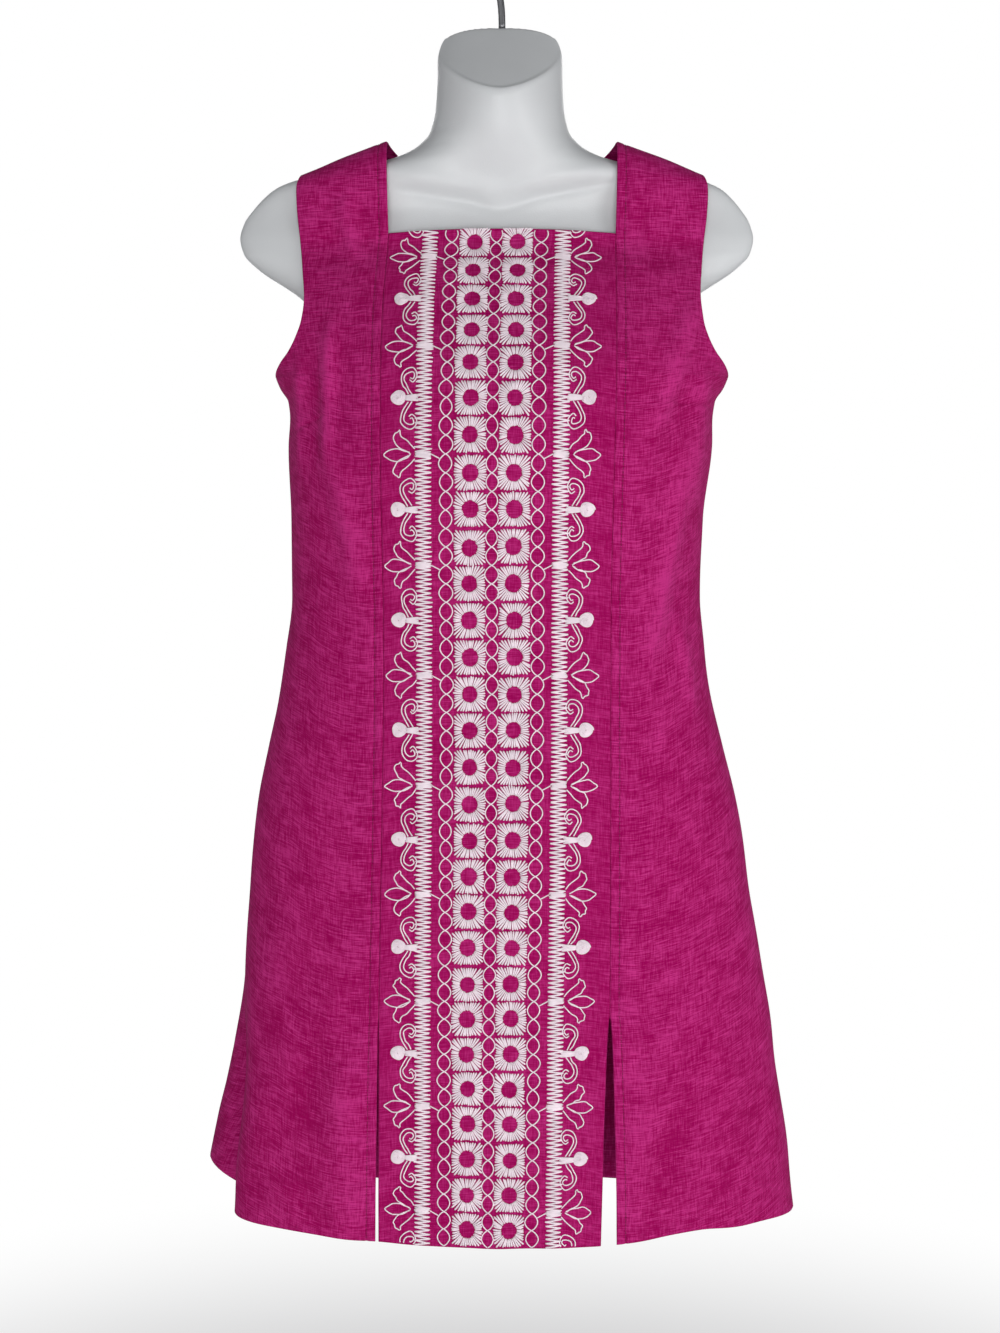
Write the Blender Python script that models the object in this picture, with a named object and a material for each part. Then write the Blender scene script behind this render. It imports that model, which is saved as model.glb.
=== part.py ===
"""Sleeveless shift dress hanging on a limbless torso form, with the form's wire hook.

The dress is four pieces of cloth: a straight centre front panel, two side fronts and one
back. They meet at the panel seams, side seams and shoulder seams, and the panel seams open
into slits above the hem. Under the cloth is a smooth torso form that hangs by its hook.

Frame: metres. The origin is the inside top of the hook, where a rail bears. +Z is up, the
front faces -Y and +X is the wearer's left. Levels are heights, so they are all negative.

Cloth and form are both drawn through level sections. A section is a rounded oval given by
its half width, its front and back, and how square it is, and each of those is a smooth
curve through a few levels of the body.
"""
import math

import bmesh
import bpy
from mathutils import Vector

# Cloth
WALL = 0.0015
SEAM_GAP = 0.0003

# Levels of the dress
SHOULDER_NECK = -0.180
FRONT_NECKLINE = -0.262
UNDERARM = -0.381
SLIT_TOP = -0.915
HEM = -1.113
LIFT_FROM = -0.95
STRAP_LINES_FROM = -0.340
STRAP_LINES_BY = -0.270
SHOULDER_SEARCH = (-0.245, -0.172)

# Places across the dress
NECK_AT_SHOULDER = 0.0976
NECK_AT_CORNER = 0.0950
STRAP_END = 0.1715
NECKLINE_BOW = 0.0035
BACK_NECK_DROP = 0.035
SLIT_GAP_LEFT = 0.0026
SLIT_GAP_RIGHT = 0.0135
SLIT_CURVE = 0.55

# The shoulders' middle stands this far in front of the hook
SHOULDER_Y = -0.025

# Torso form
FORM_NECK_TOP = -0.083
CAP_RIDGE = 0.017
CAP_SLOPE = 0.900
CAP_EDGE = 0.003
CAP_FALL = 0.024
CAP_SQUARE = 2.6
CAP_WIDEST = 0.995
NECK_RINGS_FROM = -0.172
FORM_LOWEST = -0.790
FORM_FOOT_ROUND = 0.016

# Hook
WIRE_RADIUS = 0.003
HOOK_RADIUS = 0.020
SHANK_GAP = 0.0003
SHANK_STRAIGHT = 0.004
HOOK_START = -140.0
HOOK_END = 100.0

# How finely each piece is divided
STRAP_ROWS = 7
PANEL_COLUMNS = 8
SIDE_COLUMNS = 9
BACK_NECK_COLUMNS = 10
BACK_STRAP_COLUMNS = 6
FORM_SIDES = 34
FOOT_STEPS = (0.0, 0.35, 0.7, 1.0)
HOOK_POINTS = 20
BEND_POINTS = 10

# How far apart the points that give a surface's direction are
TURN_STEP = 0.8
LEVEL_STEP = 0.002

# Half width, front, back and squareness of the dress at each level
DRESS_HALF = (
    (-1.113, 0.2590), (-1.054, 0.2532), (-1.009, 0.2459), (-0.919, 0.2330), (-0.829, 0.2186),
    (-0.785, 0.2139), (-0.741, 0.2074), (-0.697, 0.1973), (-0.653, 0.1869), (-0.610, 0.1804),
    (-0.566, 0.1758), (-0.501, 0.1765), (-0.437, 0.1812), (-0.416, 0.1803), (-0.401, 0.1820),
    (-0.390, 0.1890), (-0.381, 0.1930), (-0.340, 0.2080), (-0.300, 0.2130), (-0.262, 0.2140),
    (-0.240, 0.2090), (-0.225, 0.2000), (-0.214, 0.1850), (-0.2085, 0.1715), (-0.203, 0.1580),
    (-0.195, 0.1385), (-0.187, 0.1175), (-0.180, 0.0976), (-0.172, 0.0760),
)
DRESS_FRONT = (
    (-1.113, -0.085), (-0.950, -0.093), (-0.850, -0.097), (-0.750, -0.099), (-0.650, -0.098),
    (-0.565, -0.101), (-0.500, -0.108), (-0.440, -0.117), (-0.415, -0.115), (-0.380, -0.106),
    (-0.340, -0.086), (-0.300, -0.061), (-0.2655, -0.038), (-0.220, -0.035), (-0.172, -0.031),
)
DRESS_BACK = (
    (-1.113, 0.076), (-0.950, 0.078), (-0.850, 0.076), (-0.750, 0.070), (-0.650, 0.058),
    (-0.565, 0.052), (-0.500, 0.055), (-0.415, 0.068), (-0.340, 0.072), (-0.2655, 0.064),
    (-0.220, 0.052), (-0.172, 0.046),
)
DRESS_SQUARE = ((-1.113, 2.2), (-0.500, 2.3), (-0.380, 2.3), (-0.262, 2.1), (-0.172, 2.0))
DRESS_SHIFT = (
    (-1.113, -0.0010), (-0.919, 0.0), (-0.785, -0.0030), (-0.653, -0.0060), (-0.501, -0.0043),
    (-0.400, 0.0), (-0.172, 0.0),
)

# Where the panel seams run, the armhole edges and the middle plane of the sides
SEAM_LEFT = (
    (-1.113, -0.1065), (-0.915, -0.1035), (-0.600, -0.0978), (-0.450, -0.0990), (-0.340, -0.0985),
    (-0.262, -0.0950),
)
SEAM_RIGHT = ((-1.113, 0.0908), (-0.915, 0.0905), (-0.600, 0.0899), (-0.262, 0.0950))
ARM_EDGE = (
    (-0.381, 0.1930), (-0.377, 0.1912), (-0.370, 0.1860), (-0.361, 0.1782), (-0.350, 0.1722),
    (-0.335, 0.1670), (-0.318, 0.1650), (-0.292, 0.1670), (-0.266, 0.1700), (-0.240, 0.1730),
    (-0.220, 0.1740), (-0.2085, 0.1715),
)
SIDE_Y = ((-1.113, 0.0), (-0.381, 0.0), (-0.262, 0.004), (-0.172, 0.008))

# Soft folds: turn from centre front, spread, reach at the hem, and the level it starts at
FOLDS = (
    (-85.0, 15.0, -0.0400, -0.84),
    (-109.0, 13.0, 0.0320, -0.86),
    (-34.0, 9.0, 0.0040, -0.80),
    (47.0, 10.0, 0.0050, -0.80),
    (108.0, 15.0, 0.0030, -0.84),
    (141.0, 12.0, -0.0080, -0.76),
    (167.0, 13.0, 0.0090, -0.70),
    (-160.0, 13.0, -0.0070, -0.74),
)
HEM_LIFT = (
    (-180.0, 0.000), (-150.0, 0.010), (-124.0, 0.032), (-106.0, 0.038), (-88.0, 0.019),
    (-70.0, 0.009), (-40.0, 0.006), (-18.0, 0.000), (0.0, -0.003), (18.0, -0.002), (42.0, 0.008),
    (90.0, 0.005), (120.0, 0.007), (180.0, 0.000),
)

# Half width, front, back and squareness of the torso form at each level
FORM_HALF = (
    (-0.790, 0.1560), (-0.750, 0.1560), (-0.650, 0.1420), (-0.565, 0.1310), (-0.500, 0.1400),
    (-0.410, 0.1570), (-0.340, 0.1570), (-0.3225, 0.1590), (-0.3135, 0.1670), (-0.288, 0.2040),
    (-0.275, 0.2160), (-0.262, 0.2190), (-0.249, 0.2155), (-0.2365, 0.2070), (-0.228, 0.1995),
    (-0.220, 0.1900), (-0.2145, 0.1780), (-0.210, 0.1620), (-0.204, 0.1320), (-0.199, 0.1080),
    (-0.194, 0.0890), (-0.185, 0.0705), (-0.172, 0.0590), (-0.150, 0.0543), (-0.120, 0.0530),
    (-0.080, 0.0530),
)
FORM_SHIFT = (
    (-0.790, -0.0030), (-0.330, -0.0040), (-0.260, -0.0045), (-0.200, -0.0025), (-0.172, -0.0020),
    (-0.080, -0.0015),
)
FORM_FRONT = (
    (-0.790, -0.082), (-0.700, -0.080), (-0.565, -0.078), (-0.500, -0.092), (-0.440, -0.109),
    (-0.415, -0.108), (-0.380, -0.098), (-0.340, -0.078), (-0.300, -0.0515), (-0.265, -0.0320),
    (-0.240, -0.0225), (-0.220, -0.0290), (-0.206, -0.0360), (-0.191, -0.0440), (-0.172, -0.0520),
    (-0.150, -0.0565), (-0.080, -0.0580),
)
FORM_BACK = (
    (-0.790, 0.062), (-0.700, 0.056), (-0.565, 0.036), (-0.500, 0.042), (-0.415, 0.057),
    (-0.340, 0.061), (-0.265, 0.051), (-0.235, 0.041), (-0.210, 0.037), (-0.172, 0.038),
    (-0.080, 0.041),
)
FORM_SQUARE = ((-0.790, 2.2), (-0.300, 2.1), (-0.262, 2.0), (-0.225, 1.8), (-0.190, 1.75), (-0.080, 1.75))

# Levels of the rows of points, closer together where the shape turns faster
SKIRT_LEVELS = (
    -1.113, -1.065, -1.015, -0.965, -0.915, -0.865, -0.815, -0.765, -0.715, -0.665, -0.615,
    -0.565, -0.515, -0.475, -0.440, -0.412, -0.394, -0.381, -0.3755, -0.368, -0.358, -0.345,
    -0.328, -0.308, -0.286,
)
FORM_LEVELS = (
    -0.740, -0.690, -0.640, -0.600, -0.565, -0.530, -0.500, -0.470, -0.440, -0.412, -0.384,
    -0.358, -0.338, -0.322, -0.306, -0.292, -0.280, -0.270, -0.260, -0.249, -0.238, -0.229,
    -0.221, -0.2155, -0.211, -0.2072, -0.203, -0.199, -0.195, -0.190, -0.184, -0.178,
)
NECK_STEPS = (0.0, 0.3, 0.65, 1.0)
CAP_RINGS = (1.0, 0.78, 0.53, 0.27)

PINK = (0.351, 0.010, 0.112, 1.0)
WHITE = (0.720, 0.730, 0.735, 1.0)
STEEL = (0.420, 0.420, 0.430, 1.0)


def mix(start, end, share):
    return start + (end - start) * share


def eased(share):
    share = min(1.0, max(0.0, share))
    return share * share * (3.0 - 2.0 * share)


def smooth(points):
    """The monotone cubic curve through (place, value) pairs, held level past its ends."""
    places = [place for place, _ in points]
    values = [value for _, value in points]
    steps = [places[i + 1] - places[i] for i in range(len(points) - 1)]
    rises = [(values[i + 1] - values[i]) / steps[i] for i in range(len(steps))]
    slopes = [rises[0]]
    for before, after in zip(rises, rises[1:]):
        slopes.append(0.0 if before * after <= 0.0 else 2.0 * before * after / (before + after))
    slopes.append(rises[-1])

    def value_at(place):
        place = min(max(place, places[0]), places[-1])
        index = max(i for i in range(len(steps)) if places[i] <= place)
        step = steps[index]
        share = (place - places[index]) / step
        rest = 1.0 - share
        return (
            values[index] * rest * rest * (1.0 + 2.0 * share)
            + values[index + 1] * share * share * (3.0 - 2.0 * share)
            + slopes[index] * step * share * rest * rest
            - slopes[index + 1] * step * share * share * rest
        )

    return value_at


side_y = smooth(SIDE_Y)
seam_left = smooth(SEAM_LEFT)
seam_right = smooth(SEAM_RIGHT)
arm_edge = smooth(ARM_EDGE)
hem_lift = smooth(HEM_LIFT)


def signed_power(value, power):
    return math.copysign(abs(value) ** power, value)


class Body:
    """A body drawn through its level sections: the dress or the torso form."""

    def __init__(self, half, front, back, square, shift=None, folds=()):
        self.half = smooth(half)
        self.front = smooth(front)
        self.back = smooth(back)
        self.square = smooth(square)
        self.shift = smooth(shift) if shift else lambda level: 0.0
        self.folds = folds

    def plain_point(self, level, turn):
        """The section's point at this turn, in degrees: 0 is centre front, 90 the left side."""
        power = 2.0 / self.square(level)
        across = signed_power(math.sin(math.radians(turn)), power)
        ahead = signed_power(math.cos(math.radians(turn)), power)
        middle = side_y(level)
        depth = middle - self.front(level) if ahead > 0.0 else self.back(level) - middle
        return Vector((
            self.shift(level) + self.half(level) * across,
            SHOULDER_Y + middle - ahead * depth,
            level,
        ))

    def point(self, level, turn):
        """The point with the soft folds added, outward across the section."""
        spot = self.plain_point(level, turn)
        reach = 0.0
        for centre, spread, deepest, start in self.folds:
            away = (turn - centre + 180.0) % 360.0 - 180.0
            grown = eased((start - level) / (start - HEM))
            reach += deepest * grown * math.exp(-((away / spread) ** 2))
        if reach:
            along = self.plain_point(level, turn + TURN_STEP) - self.plain_point(level, turn - TURN_STEP)
            spot += Vector((along.y, -along.x, 0.0)).normalized() * reach
        return spot

    def normal(self, level, turn):
        across = self.point(level, turn + TURN_STEP) - self.point(level, turn - TURN_STEP)
        upward = self.point(level + LEVEL_STEP, turn) - self.point(level - LEVEL_STEP, turn)
        return across.cross(upward).normalized()

    def turn_at(self, level, x):
        """The front turn of the section's point at this x."""
        share = min(1.0, abs(x - self.shift(level)) / self.half(level))
        turn = math.degrees(math.asin(share ** (self.square(level) / 2.0)))
        return math.copysign(turn, x - self.shift(level))


DRESS = Body(DRESS_HALF, DRESS_FRONT, DRESS_BACK, DRESS_SQUARE, DRESS_SHIFT, FOLDS)
FORM = Body(FORM_HALF, FORM_FRONT, FORM_BACK, FORM_SQUARE, FORM_SHIFT)


def shoulder_level(x):
    """The level of the shoulder ridge at this distance from the middle."""
    low, high = SHOULDER_SEARCH
    for _ in range(40):
        middle = (low + high) / 2.0
        if DRESS.half(middle) > x:
            low = middle
        else:
            high = middle
    return (low + high) / 2.0


def lifted(level, turn):
    """The hem isn't quite level: it lifts where the skirt flares out."""
    return level + hem_lift(turn) * eased((LIFT_FROM - level) / (LIFT_FROM - HEM))


def slit(level, gap):
    """Half of the space between the two edges of a panel seam."""
    opened = max(0.0, (SLIT_TOP - level) / (SLIT_TOP - HEM)) ** SLIT_CURVE
    return (SEAM_GAP + gap * opened) / 2.0


def cloth_spot(level, turn, toward_back):
    """The cloth's outer and inner points here; the front and the back stand a seam apart."""
    outer = DRESS.point(level, turn)
    outer.y += SEAM_GAP / 2.0 if toward_back else -SEAM_GAP / 2.0
    return outer, outer - DRESS.normal(level, turn) * WALL


def front_rows():
    """The centre panel: straight, with a nearly level top edge bowed up in the middle."""
    rows = []
    for row_level in (*SKIRT_LEVELS, FRONT_NECKLINE):
        line = []
        for column in range(PANEL_COLUMNS + 1):
            share = column / PANEL_COLUMNS
            level = row_level
            if row_level == FRONT_NECKLINE:
                level += NECKLINE_BOW * (1.0 - (2.0 * share - 1.0) ** 2)
            left = seam_left(level) + slit(level, SLIT_GAP_LEFT)
            right = seam_right(level) - slit(level, SLIT_GAP_RIGHT)
            turn = mix(DRESS.turn_at(level, left), DRESS.turn_at(level, right), share)
            line.append(cloth_spot(lifted(level, turn), turn, False))
        rows.append(line)
    return rows


def inner_edge(level, side):
    """The panel seam, and above it the neck edge, at this side (+1 or -1)."""
    if level > FRONT_NECKLINE:
        share = (level - FRONT_NECKLINE) / (SHOULDER_NECK - FRONT_NECKLINE)
        return side * (mix(NECK_AT_CORNER, NECK_AT_SHOULDER, share) + SEAM_GAP / 2.0)
    if side > 0.0:
        return seam_right(level) + slit(level, SLIT_GAP_RIGHT)
    return seam_left(level) - slit(level, SLIT_GAP_LEFT)


def outer_turn(level):
    """How far round the cloth reaches: the side seam, or the armhole edge above it."""
    return 90.0 if level <= UNDERARM else DRESS.turn_at(level, arm_edge(level))


def strap_turn(level, turn, x):
    """From the underarm up, the columns turn into straight lines over the shoulder."""
    share = eased((level - STRAP_LINES_FROM) / (STRAP_LINES_BY - STRAP_LINES_FROM))
    if share == 0.0:
        return turn
    body_x = abs(DRESS.plain_point(level, turn).x)
    return DRESS.turn_at(level, mix(body_x, x, share))


def column_levels(top):
    """A column's levels from hem to top: those of the strap crowd where the cloth turns over."""
    levels = list(SKIRT_LEVELS)
    for row in range(STRAP_ROWS + 1):
        rest = 1.0 - row / STRAP_ROWS
        levels.append(mix(FRONT_NECKLINE, top, 1.0 - rest * rest))
    return levels


def side_front_column(side, share):
    """One line of points up a side front, this share of the way out from the panel seam."""
    levels = column_levels(shoulder_level(mix(NECK_AT_SHOULDER, STRAP_END, share)))
    line = []
    for level in levels[:-1]:
        inner = inner_edge(level, side)
        turn = mix(DRESS.turn_at(level, inner) * side, outer_turn(level), share)
        turn = strap_turn(level, turn, mix(abs(inner), arm_edge(level), share)) * side
        line.append(cloth_spot(lifted(level, turn), turn, False))
    line.append(cloth_spot(levels[-1], 90.0 * side, False))
    return line


def side_front_rows(side):
    shares = [column / SIDE_COLUMNS for column in range(SIDE_COLUMNS + 1)]
    if side < 0.0:
        shares.reverse()
    return list(zip(*(side_front_column(side, share) for share in shares)))


def back_places():
    """Places across half the back, 0 at the middle and 1 at the armhole edge."""
    corner = NECK_AT_SHOULDER / STRAP_END
    half_neck = BACK_NECK_COLUMNS // 2
    inner = [corner * i / half_neck for i in range(half_neck)]
    outer = [mix(corner, 1.0, i / BACK_STRAP_COLUMNS) for i in range(BACK_STRAP_COLUMNS + 1)]
    places = inner + outer
    return [-place for place in places[:0:-1]] + places


def back_top(place):
    """The back neckline is a shallow scoop between the shoulder ridges."""
    x = abs(place) * STRAP_END
    if x >= NECK_AT_SHOULDER:
        return shoulder_level(x)
    return SHOULDER_NECK - BACK_NECK_DROP * (1.0 - (x / NECK_AT_SHOULDER) ** 3)


def back_column(place):
    """One line of points up the back, from -1 at one armhole edge to 1 at the other."""
    levels = column_levels(back_top(place))
    on_ridge = abs(place) * STRAP_END >= NECK_AT_SHOULDER
    line = []
    for level in levels:
        turn = outer_turn(level) * abs(place)
        turn = strap_turn(level, turn, arm_edge(level) * abs(place))
        if on_ridge and level == levels[-1]:
            turn = 90.0
        behind = 180.0 - turn if place >= 0.0 else turn - 180.0
        line.append(cloth_spot(lifted(level, behind), behind, True))
    return line


def back_rows():
    return list(zip(*(back_column(place) for place in reversed(back_places()))))


def material(name, colour, roughness, metallic=0.0):
    made = bpy.data.materials.new(name)
    made.use_nodes = True
    shader = made.node_tree.nodes["Principled BSDF"]
    shader.inputs["Base Color"].default_value = colour
    shader.inputs["Roughness"].default_value = roughness
    shader.inputs["Metallic"].default_value = metallic
    return made


def add_object(name, mesh, look, parent):
    made = bpy.data.objects.new(name, mesh)
    mesh.materials.append(look)
    bpy.context.scene.collection.objects.link(made)
    made.parent = parent
    return made


def smooth_shaded(mesh):
    mesh.shade_smooth()
    mesh.set_sharp_from_angle(angle=math.radians(50.0))


def cloth_piece(name, rows, look, parent):
    """A wall of cloth: the grid of outer points, the inner grid behind it, and the cut edges."""
    mesh = bmesh.new()
    outer = [[mesh.verts.new(spot[0]) for spot in line] for line in rows]
    inner = [[mesh.verts.new(spot[1]) for spot in line] for line in rows]
    high, wide = len(rows) - 1, len(rows[0]) - 1
    for row in range(high):
        for column in range(wide):
            near, far = outer[row], outer[row + 1]
            mesh.faces.new((near[column], near[column + 1], far[column + 1], far[column]))
            near, far = inner[row], inner[row + 1]
            mesh.faces.new((near[column], far[column], far[column + 1], near[column + 1]))
    for column in range(wide):
        mesh.faces.new((inner[0][column], inner[0][column + 1], outer[0][column + 1], outer[0][column]))
        mesh.faces.new((outer[-1][column], outer[-1][column + 1], inner[-1][column + 1], inner[-1][column]))
    for row in range(high):
        mesh.faces.new((outer[row][0], outer[row + 1][0], inner[row + 1][0], inner[row][0]))
        mesh.faces.new((inner[row][-1], inner[row + 1][-1], outer[row + 1][-1], outer[row][-1]))
    data = bpy.data.meshes.new(name)
    mesh.to_mesh(data)
    mesh.free()
    smooth_shaded(data)
    return add_object(name, data, look, parent)


def form_turns():
    return [360.0 * i / FORM_SIDES for i in range(FORM_SIDES)]


def cap_level(spot):
    """The neck's cut face: a slope to the front and a land behind it, rounded off to the sides."""
    share = min(CAP_WIDEST, abs(spot.x - FORM.shift(FORM_NECK_TOP)) / FORM.half(FORM_NECK_TOP))
    fall = CAP_FALL * (1.0 - (1.0 - share ** CAP_SQUARE) ** (1.0 / CAP_SQUARE))
    return FORM_NECK_TOP - fall - CAP_SLOPE * max(0.0, CAP_RIDGE - (spot.y - SHOULDER_Y))


def middle_of(spots):
    return sum(spots, Vector()) / len(spots)


def inset(spot, centre, amount):
    """The point moved level towards the middle of its section."""
    inward = Vector((centre.x - spot.x, centre.y - spot.y, 0.0))
    return spot + inward.normalized() * amount


def form_rings():
    """All rings of the form from its foot to the middle of the neck's cut face."""
    rings = []
    for step in FOOT_STEPS:
        rise = FORM_FOOT_ROUND * (1.0 - math.cos(math.radians(90.0 * step)))
        drawn_in = FORM_FOOT_ROUND * (1.0 - math.sin(math.radians(90.0 * step)))
        ring = [FORM.point(FORM_LOWEST + rise, turn) for turn in form_turns()]
        rings.append([inset(spot, middle_of(ring), drawn_in) for spot in ring])
    rings += [[FORM.point(level, turn) for turn in form_turns()] for level in FORM_LEVELS]
    for step in NECK_STEPS:
        tops = [cap_level(FORM.point(FORM_NECK_TOP, turn)) - CAP_EDGE for turn in form_turns()]
        levels = [mix(NECK_RINGS_FROM, top, step) for top in tops]
        rings.append([FORM.point(level, turn) for level, turn in zip(levels, form_turns())])
    neck = middle_of(rings[-1])
    edge = [inset(spot, neck, CAP_EDGE) for spot in rings[-1]]
    for share in CAP_RINGS:
        ring = [neck.lerp(spot, share) for spot in edge]
        rings.append([Vector((spot.x, spot.y, cap_level(spot))) for spot in ring])
    return rings


def torso_form(look, parent):
    rings = form_rings()
    mesh = bmesh.new()
    loops = [[mesh.verts.new(spot) for spot in ring] for ring in rings]
    for low, high in zip(loops, loops[1:]):
        for side in range(FORM_SIDES):
            after = (side + 1) % FORM_SIDES
            mesh.faces.new((low[side], low[after], high[after], high[side]))
    mesh.faces.new(loops[0][::-1])
    top = middle_of(rings[-1])
    centre = mesh.verts.new((top.x, top.y, cap_level(top)))
    for side in range(FORM_SIDES):
        mesh.faces.new((loops[-1][side], loops[-1][(side + 1) % FORM_SIDES], centre))
    data = bpy.data.meshes.new("torso_form")
    mesh.to_mesh(data)
    mesh.free()
    smooth_shaded(data)
    return add_object("torso_form", data, look, parent)


def bend(start, corner, end, points):
    """A parabola from start to end that leaves and arrives along the lines to its corner."""
    shares = [i / points for i in range(points)]
    return [start.lerp(corner, share).lerp(corner.lerp(end, share), share) for share in shares]


def hook_route():
    """The wire's centre line: up the shank, out to one side and round over the rail."""
    centre = Vector((0.0, 0.0, WIRE_RADIUS - HOOK_RADIUS))
    foot = Vector((0.0, 0.0, FORM_NECK_TOP + SHANK_GAP))
    loop = []
    for i in range(HOOK_POINTS + 1):
        angle = math.radians(mix(HOOK_START, HOOK_END, i / HOOK_POINTS))
        loop.append(centre + Vector((math.sin(angle), 0.0, math.cos(angle))) * HOOK_RADIUS)
    fall = -loop[0].x * math.tan(math.radians(HOOK_START))
    corner = Vector((0.0, 0.0, loop[0].z - fall))
    knee = foot + Vector((0.0, 0.0, SHANK_STRAIGHT))
    return [foot, *bend(knee, corner, loop[0], BEND_POINTS), *loop]


def hook(look, parent):
    curve = bpy.data.curves.new("hook", "CURVE")
    curve.dimensions = "3D"
    curve.bevel_depth = WIRE_RADIUS
    curve.bevel_resolution = 2
    curve.use_fill_caps = True
    route = hook_route()
    spline = curve.splines.new("POLY")
    spline.points.add(len(route) - 1)
    for point, spot in zip(spline.points, route):
        point.co = (*spot, 1.0)
    made = bpy.data.objects.new("hook", curve)
    curve.materials.append(look)
    bpy.context.scene.collection.objects.link(made)
    made.parent = parent
    return made


def main():
    for old in list(bpy.data.objects):
        bpy.data.objects.remove(old, do_unlink=True)
    root = bpy.data.objects.new("hang_point", None)
    bpy.context.scene.collection.objects.link(root)
    cloth = material("slub_linen", PINK, 0.85)
    cloth_piece("front_panel", front_rows(), cloth, root)
    cloth_piece("side_front_right", side_front_rows(-1.0), cloth, root)
    cloth_piece("side_front_left", side_front_rows(1.0), cloth, root)
    cloth_piece("back_panel", back_rows(), cloth, root)
    torso_form(material("form_plastic", WHITE, 0.45), root)
    hook(material("hook_wire", STEEL, 0.35, 1.0), root)


main()
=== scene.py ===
"""The looks of a shift dress on its hanging torso form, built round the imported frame.

The cloth, the form and the hook are drawn from the same level sections as the CAD part, only
finer: cloth as thin shells with rolled edges, soft creases and a slubbed weave, the form as
satin moulded plastic. The embroidery on the front panel is real thread, stitch by stitch.

Metres throughout. The origin is the inside top of the hook, +Z is up, the front faces -Y and
+X is the wearer's left. Levels are heights. A place on the front panel is also given as
(across, down): across from the panel's middle, down along the cloth from its top edge.
"""
import math

import bpy
import numpy as np
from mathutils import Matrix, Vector

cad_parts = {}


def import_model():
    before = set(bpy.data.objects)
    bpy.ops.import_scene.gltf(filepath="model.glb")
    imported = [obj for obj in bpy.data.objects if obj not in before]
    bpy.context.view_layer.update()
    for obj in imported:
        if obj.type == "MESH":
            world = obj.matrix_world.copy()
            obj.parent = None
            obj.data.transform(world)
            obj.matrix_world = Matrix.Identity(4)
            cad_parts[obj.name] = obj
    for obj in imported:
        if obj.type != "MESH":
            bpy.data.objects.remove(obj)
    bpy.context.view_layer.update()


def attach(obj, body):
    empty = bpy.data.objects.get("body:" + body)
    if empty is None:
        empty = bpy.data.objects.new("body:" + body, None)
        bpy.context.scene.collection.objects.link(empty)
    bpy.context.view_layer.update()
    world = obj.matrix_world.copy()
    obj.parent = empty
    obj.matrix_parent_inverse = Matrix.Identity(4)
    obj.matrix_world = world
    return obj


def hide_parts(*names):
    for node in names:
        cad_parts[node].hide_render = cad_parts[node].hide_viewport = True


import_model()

# Cloth: its own wall, and the thicker wall of turned edges
CLOTH_WALL = 0.0009
EDGE_WALL = 0.0015
HEM_DEPTH = 0.038
FACING_DEPTH = 0.012
SEAM_GAP = 0.0003
SEAM_ROLL = 0.0014
EDGE_ROLL = 0.0009
SEAM_SINK = 0.55
EDGE_SINK = 0.5
THINNEST = 0.0004
THINS_FROM = 0.9
THINS_OVER = 8.0
RIM_BULGE = 0.28

# Levels of the dress
SHOULDER_NECK = -0.180
FRONT_NECKLINE = -0.262
UNDERARM = -0.381
SLIT_TOP = -0.915
HEM = -1.113
LIFT_FROM = -0.95
STRAP_LINES_FROM = -0.340
STRAP_LINES_BY = -0.270
SHOULDER_SEARCH = (-0.245, -0.172)
SEARCH_STEPS = 40

# Places across the dress
NECK_AT_SHOULDER = 0.0976
NECK_AT_CORNER = 0.0950
STRAP_END = 0.1715
NECKLINE_BOW = 0.0035
BOW_DEPTH = 0.020
BACK_NECK_DROP = 0.035
SLIT_GAP_LEFT = 0.0026
SLIT_GAP_RIGHT = 0.0135
SLIT_CURVE = 0.55
SHOULDER_Y = -0.025

# Torso form
FORM_NECK_TOP = -0.083
CAP_RIDGE = 0.017
CAP_SLOPE = 0.900
CAP_EDGE = 0.003
CAP_FALL = 0.024
CAP_SQUARE = 2.6
CAP_WIDEST = 0.995
NECK_RINGS_FROM = -0.172
FORM_LOWEST = -0.790
FORM_FOOT_ROUND = 0.016
FORM_SIDES = 200
FOOT_RINGS = 9
BODY_RINGS = (-0.768, -0.345, 0.006)
CHEST_RINGS = (-0.345, -0.1745, 0.0019)
NECK_RINGS = 26
CAP_EDGE_RINGS = 7
SHARP_FROM = 50.0
CAP_RINGS = (0.94, 0.88, 0.82, 0.76, 0.70, 0.64, 0.58, 0.52, 0.46, 0.40, 0.33, 0.26, 0.18, 0.10)

# Hook
WIRE_RADIUS = 0.003
HOOK_RADIUS = 0.020
SHANK_GAP = 0.0003
SHANK_STRAIGHT = 0.004
HOOK_START = -140.0
HOOK_END = 100.0
HOOK_SIDES = 24
HOOK_POINTS = 90
BEND_POINTS = 40
TIP_DOME = (0.35, 0.65, 0.87, 0.98)

# How finely the cloth is divided: rows by level, columns by distance from an edge
ROW_STEPS = ((-1.113, -1.109, 0.0008), (-1.109, -0.440, 0.0033), (-0.440, -0.362, 0.0013),
             (-0.362, -0.262, 0.0027))
STRAP_ROWS = 38
PANEL_COLUMNS = 46
SIDE_COLUMNS = 52
STRAP_COLUMNS = 22
BACK_COLUMNS = 54
TOP_ROWS = (0.0004, 0.0010, 0.0020, 0.0035)
NEAR_EDGE = (0.0, 0.0004, 0.0010, 0.0018, 0.0030, 0.0045, 0.0060, 0.0068, 0.0075, 0.0082, 0.0092)
STITCH_COLUMN = NEAR_EDGE.index(0.0075)
TURN_STEP = 0.8
LEVEL_STEP = 0.002
DENSE = np.linspace(0.0, 1.0, 240)

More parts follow.
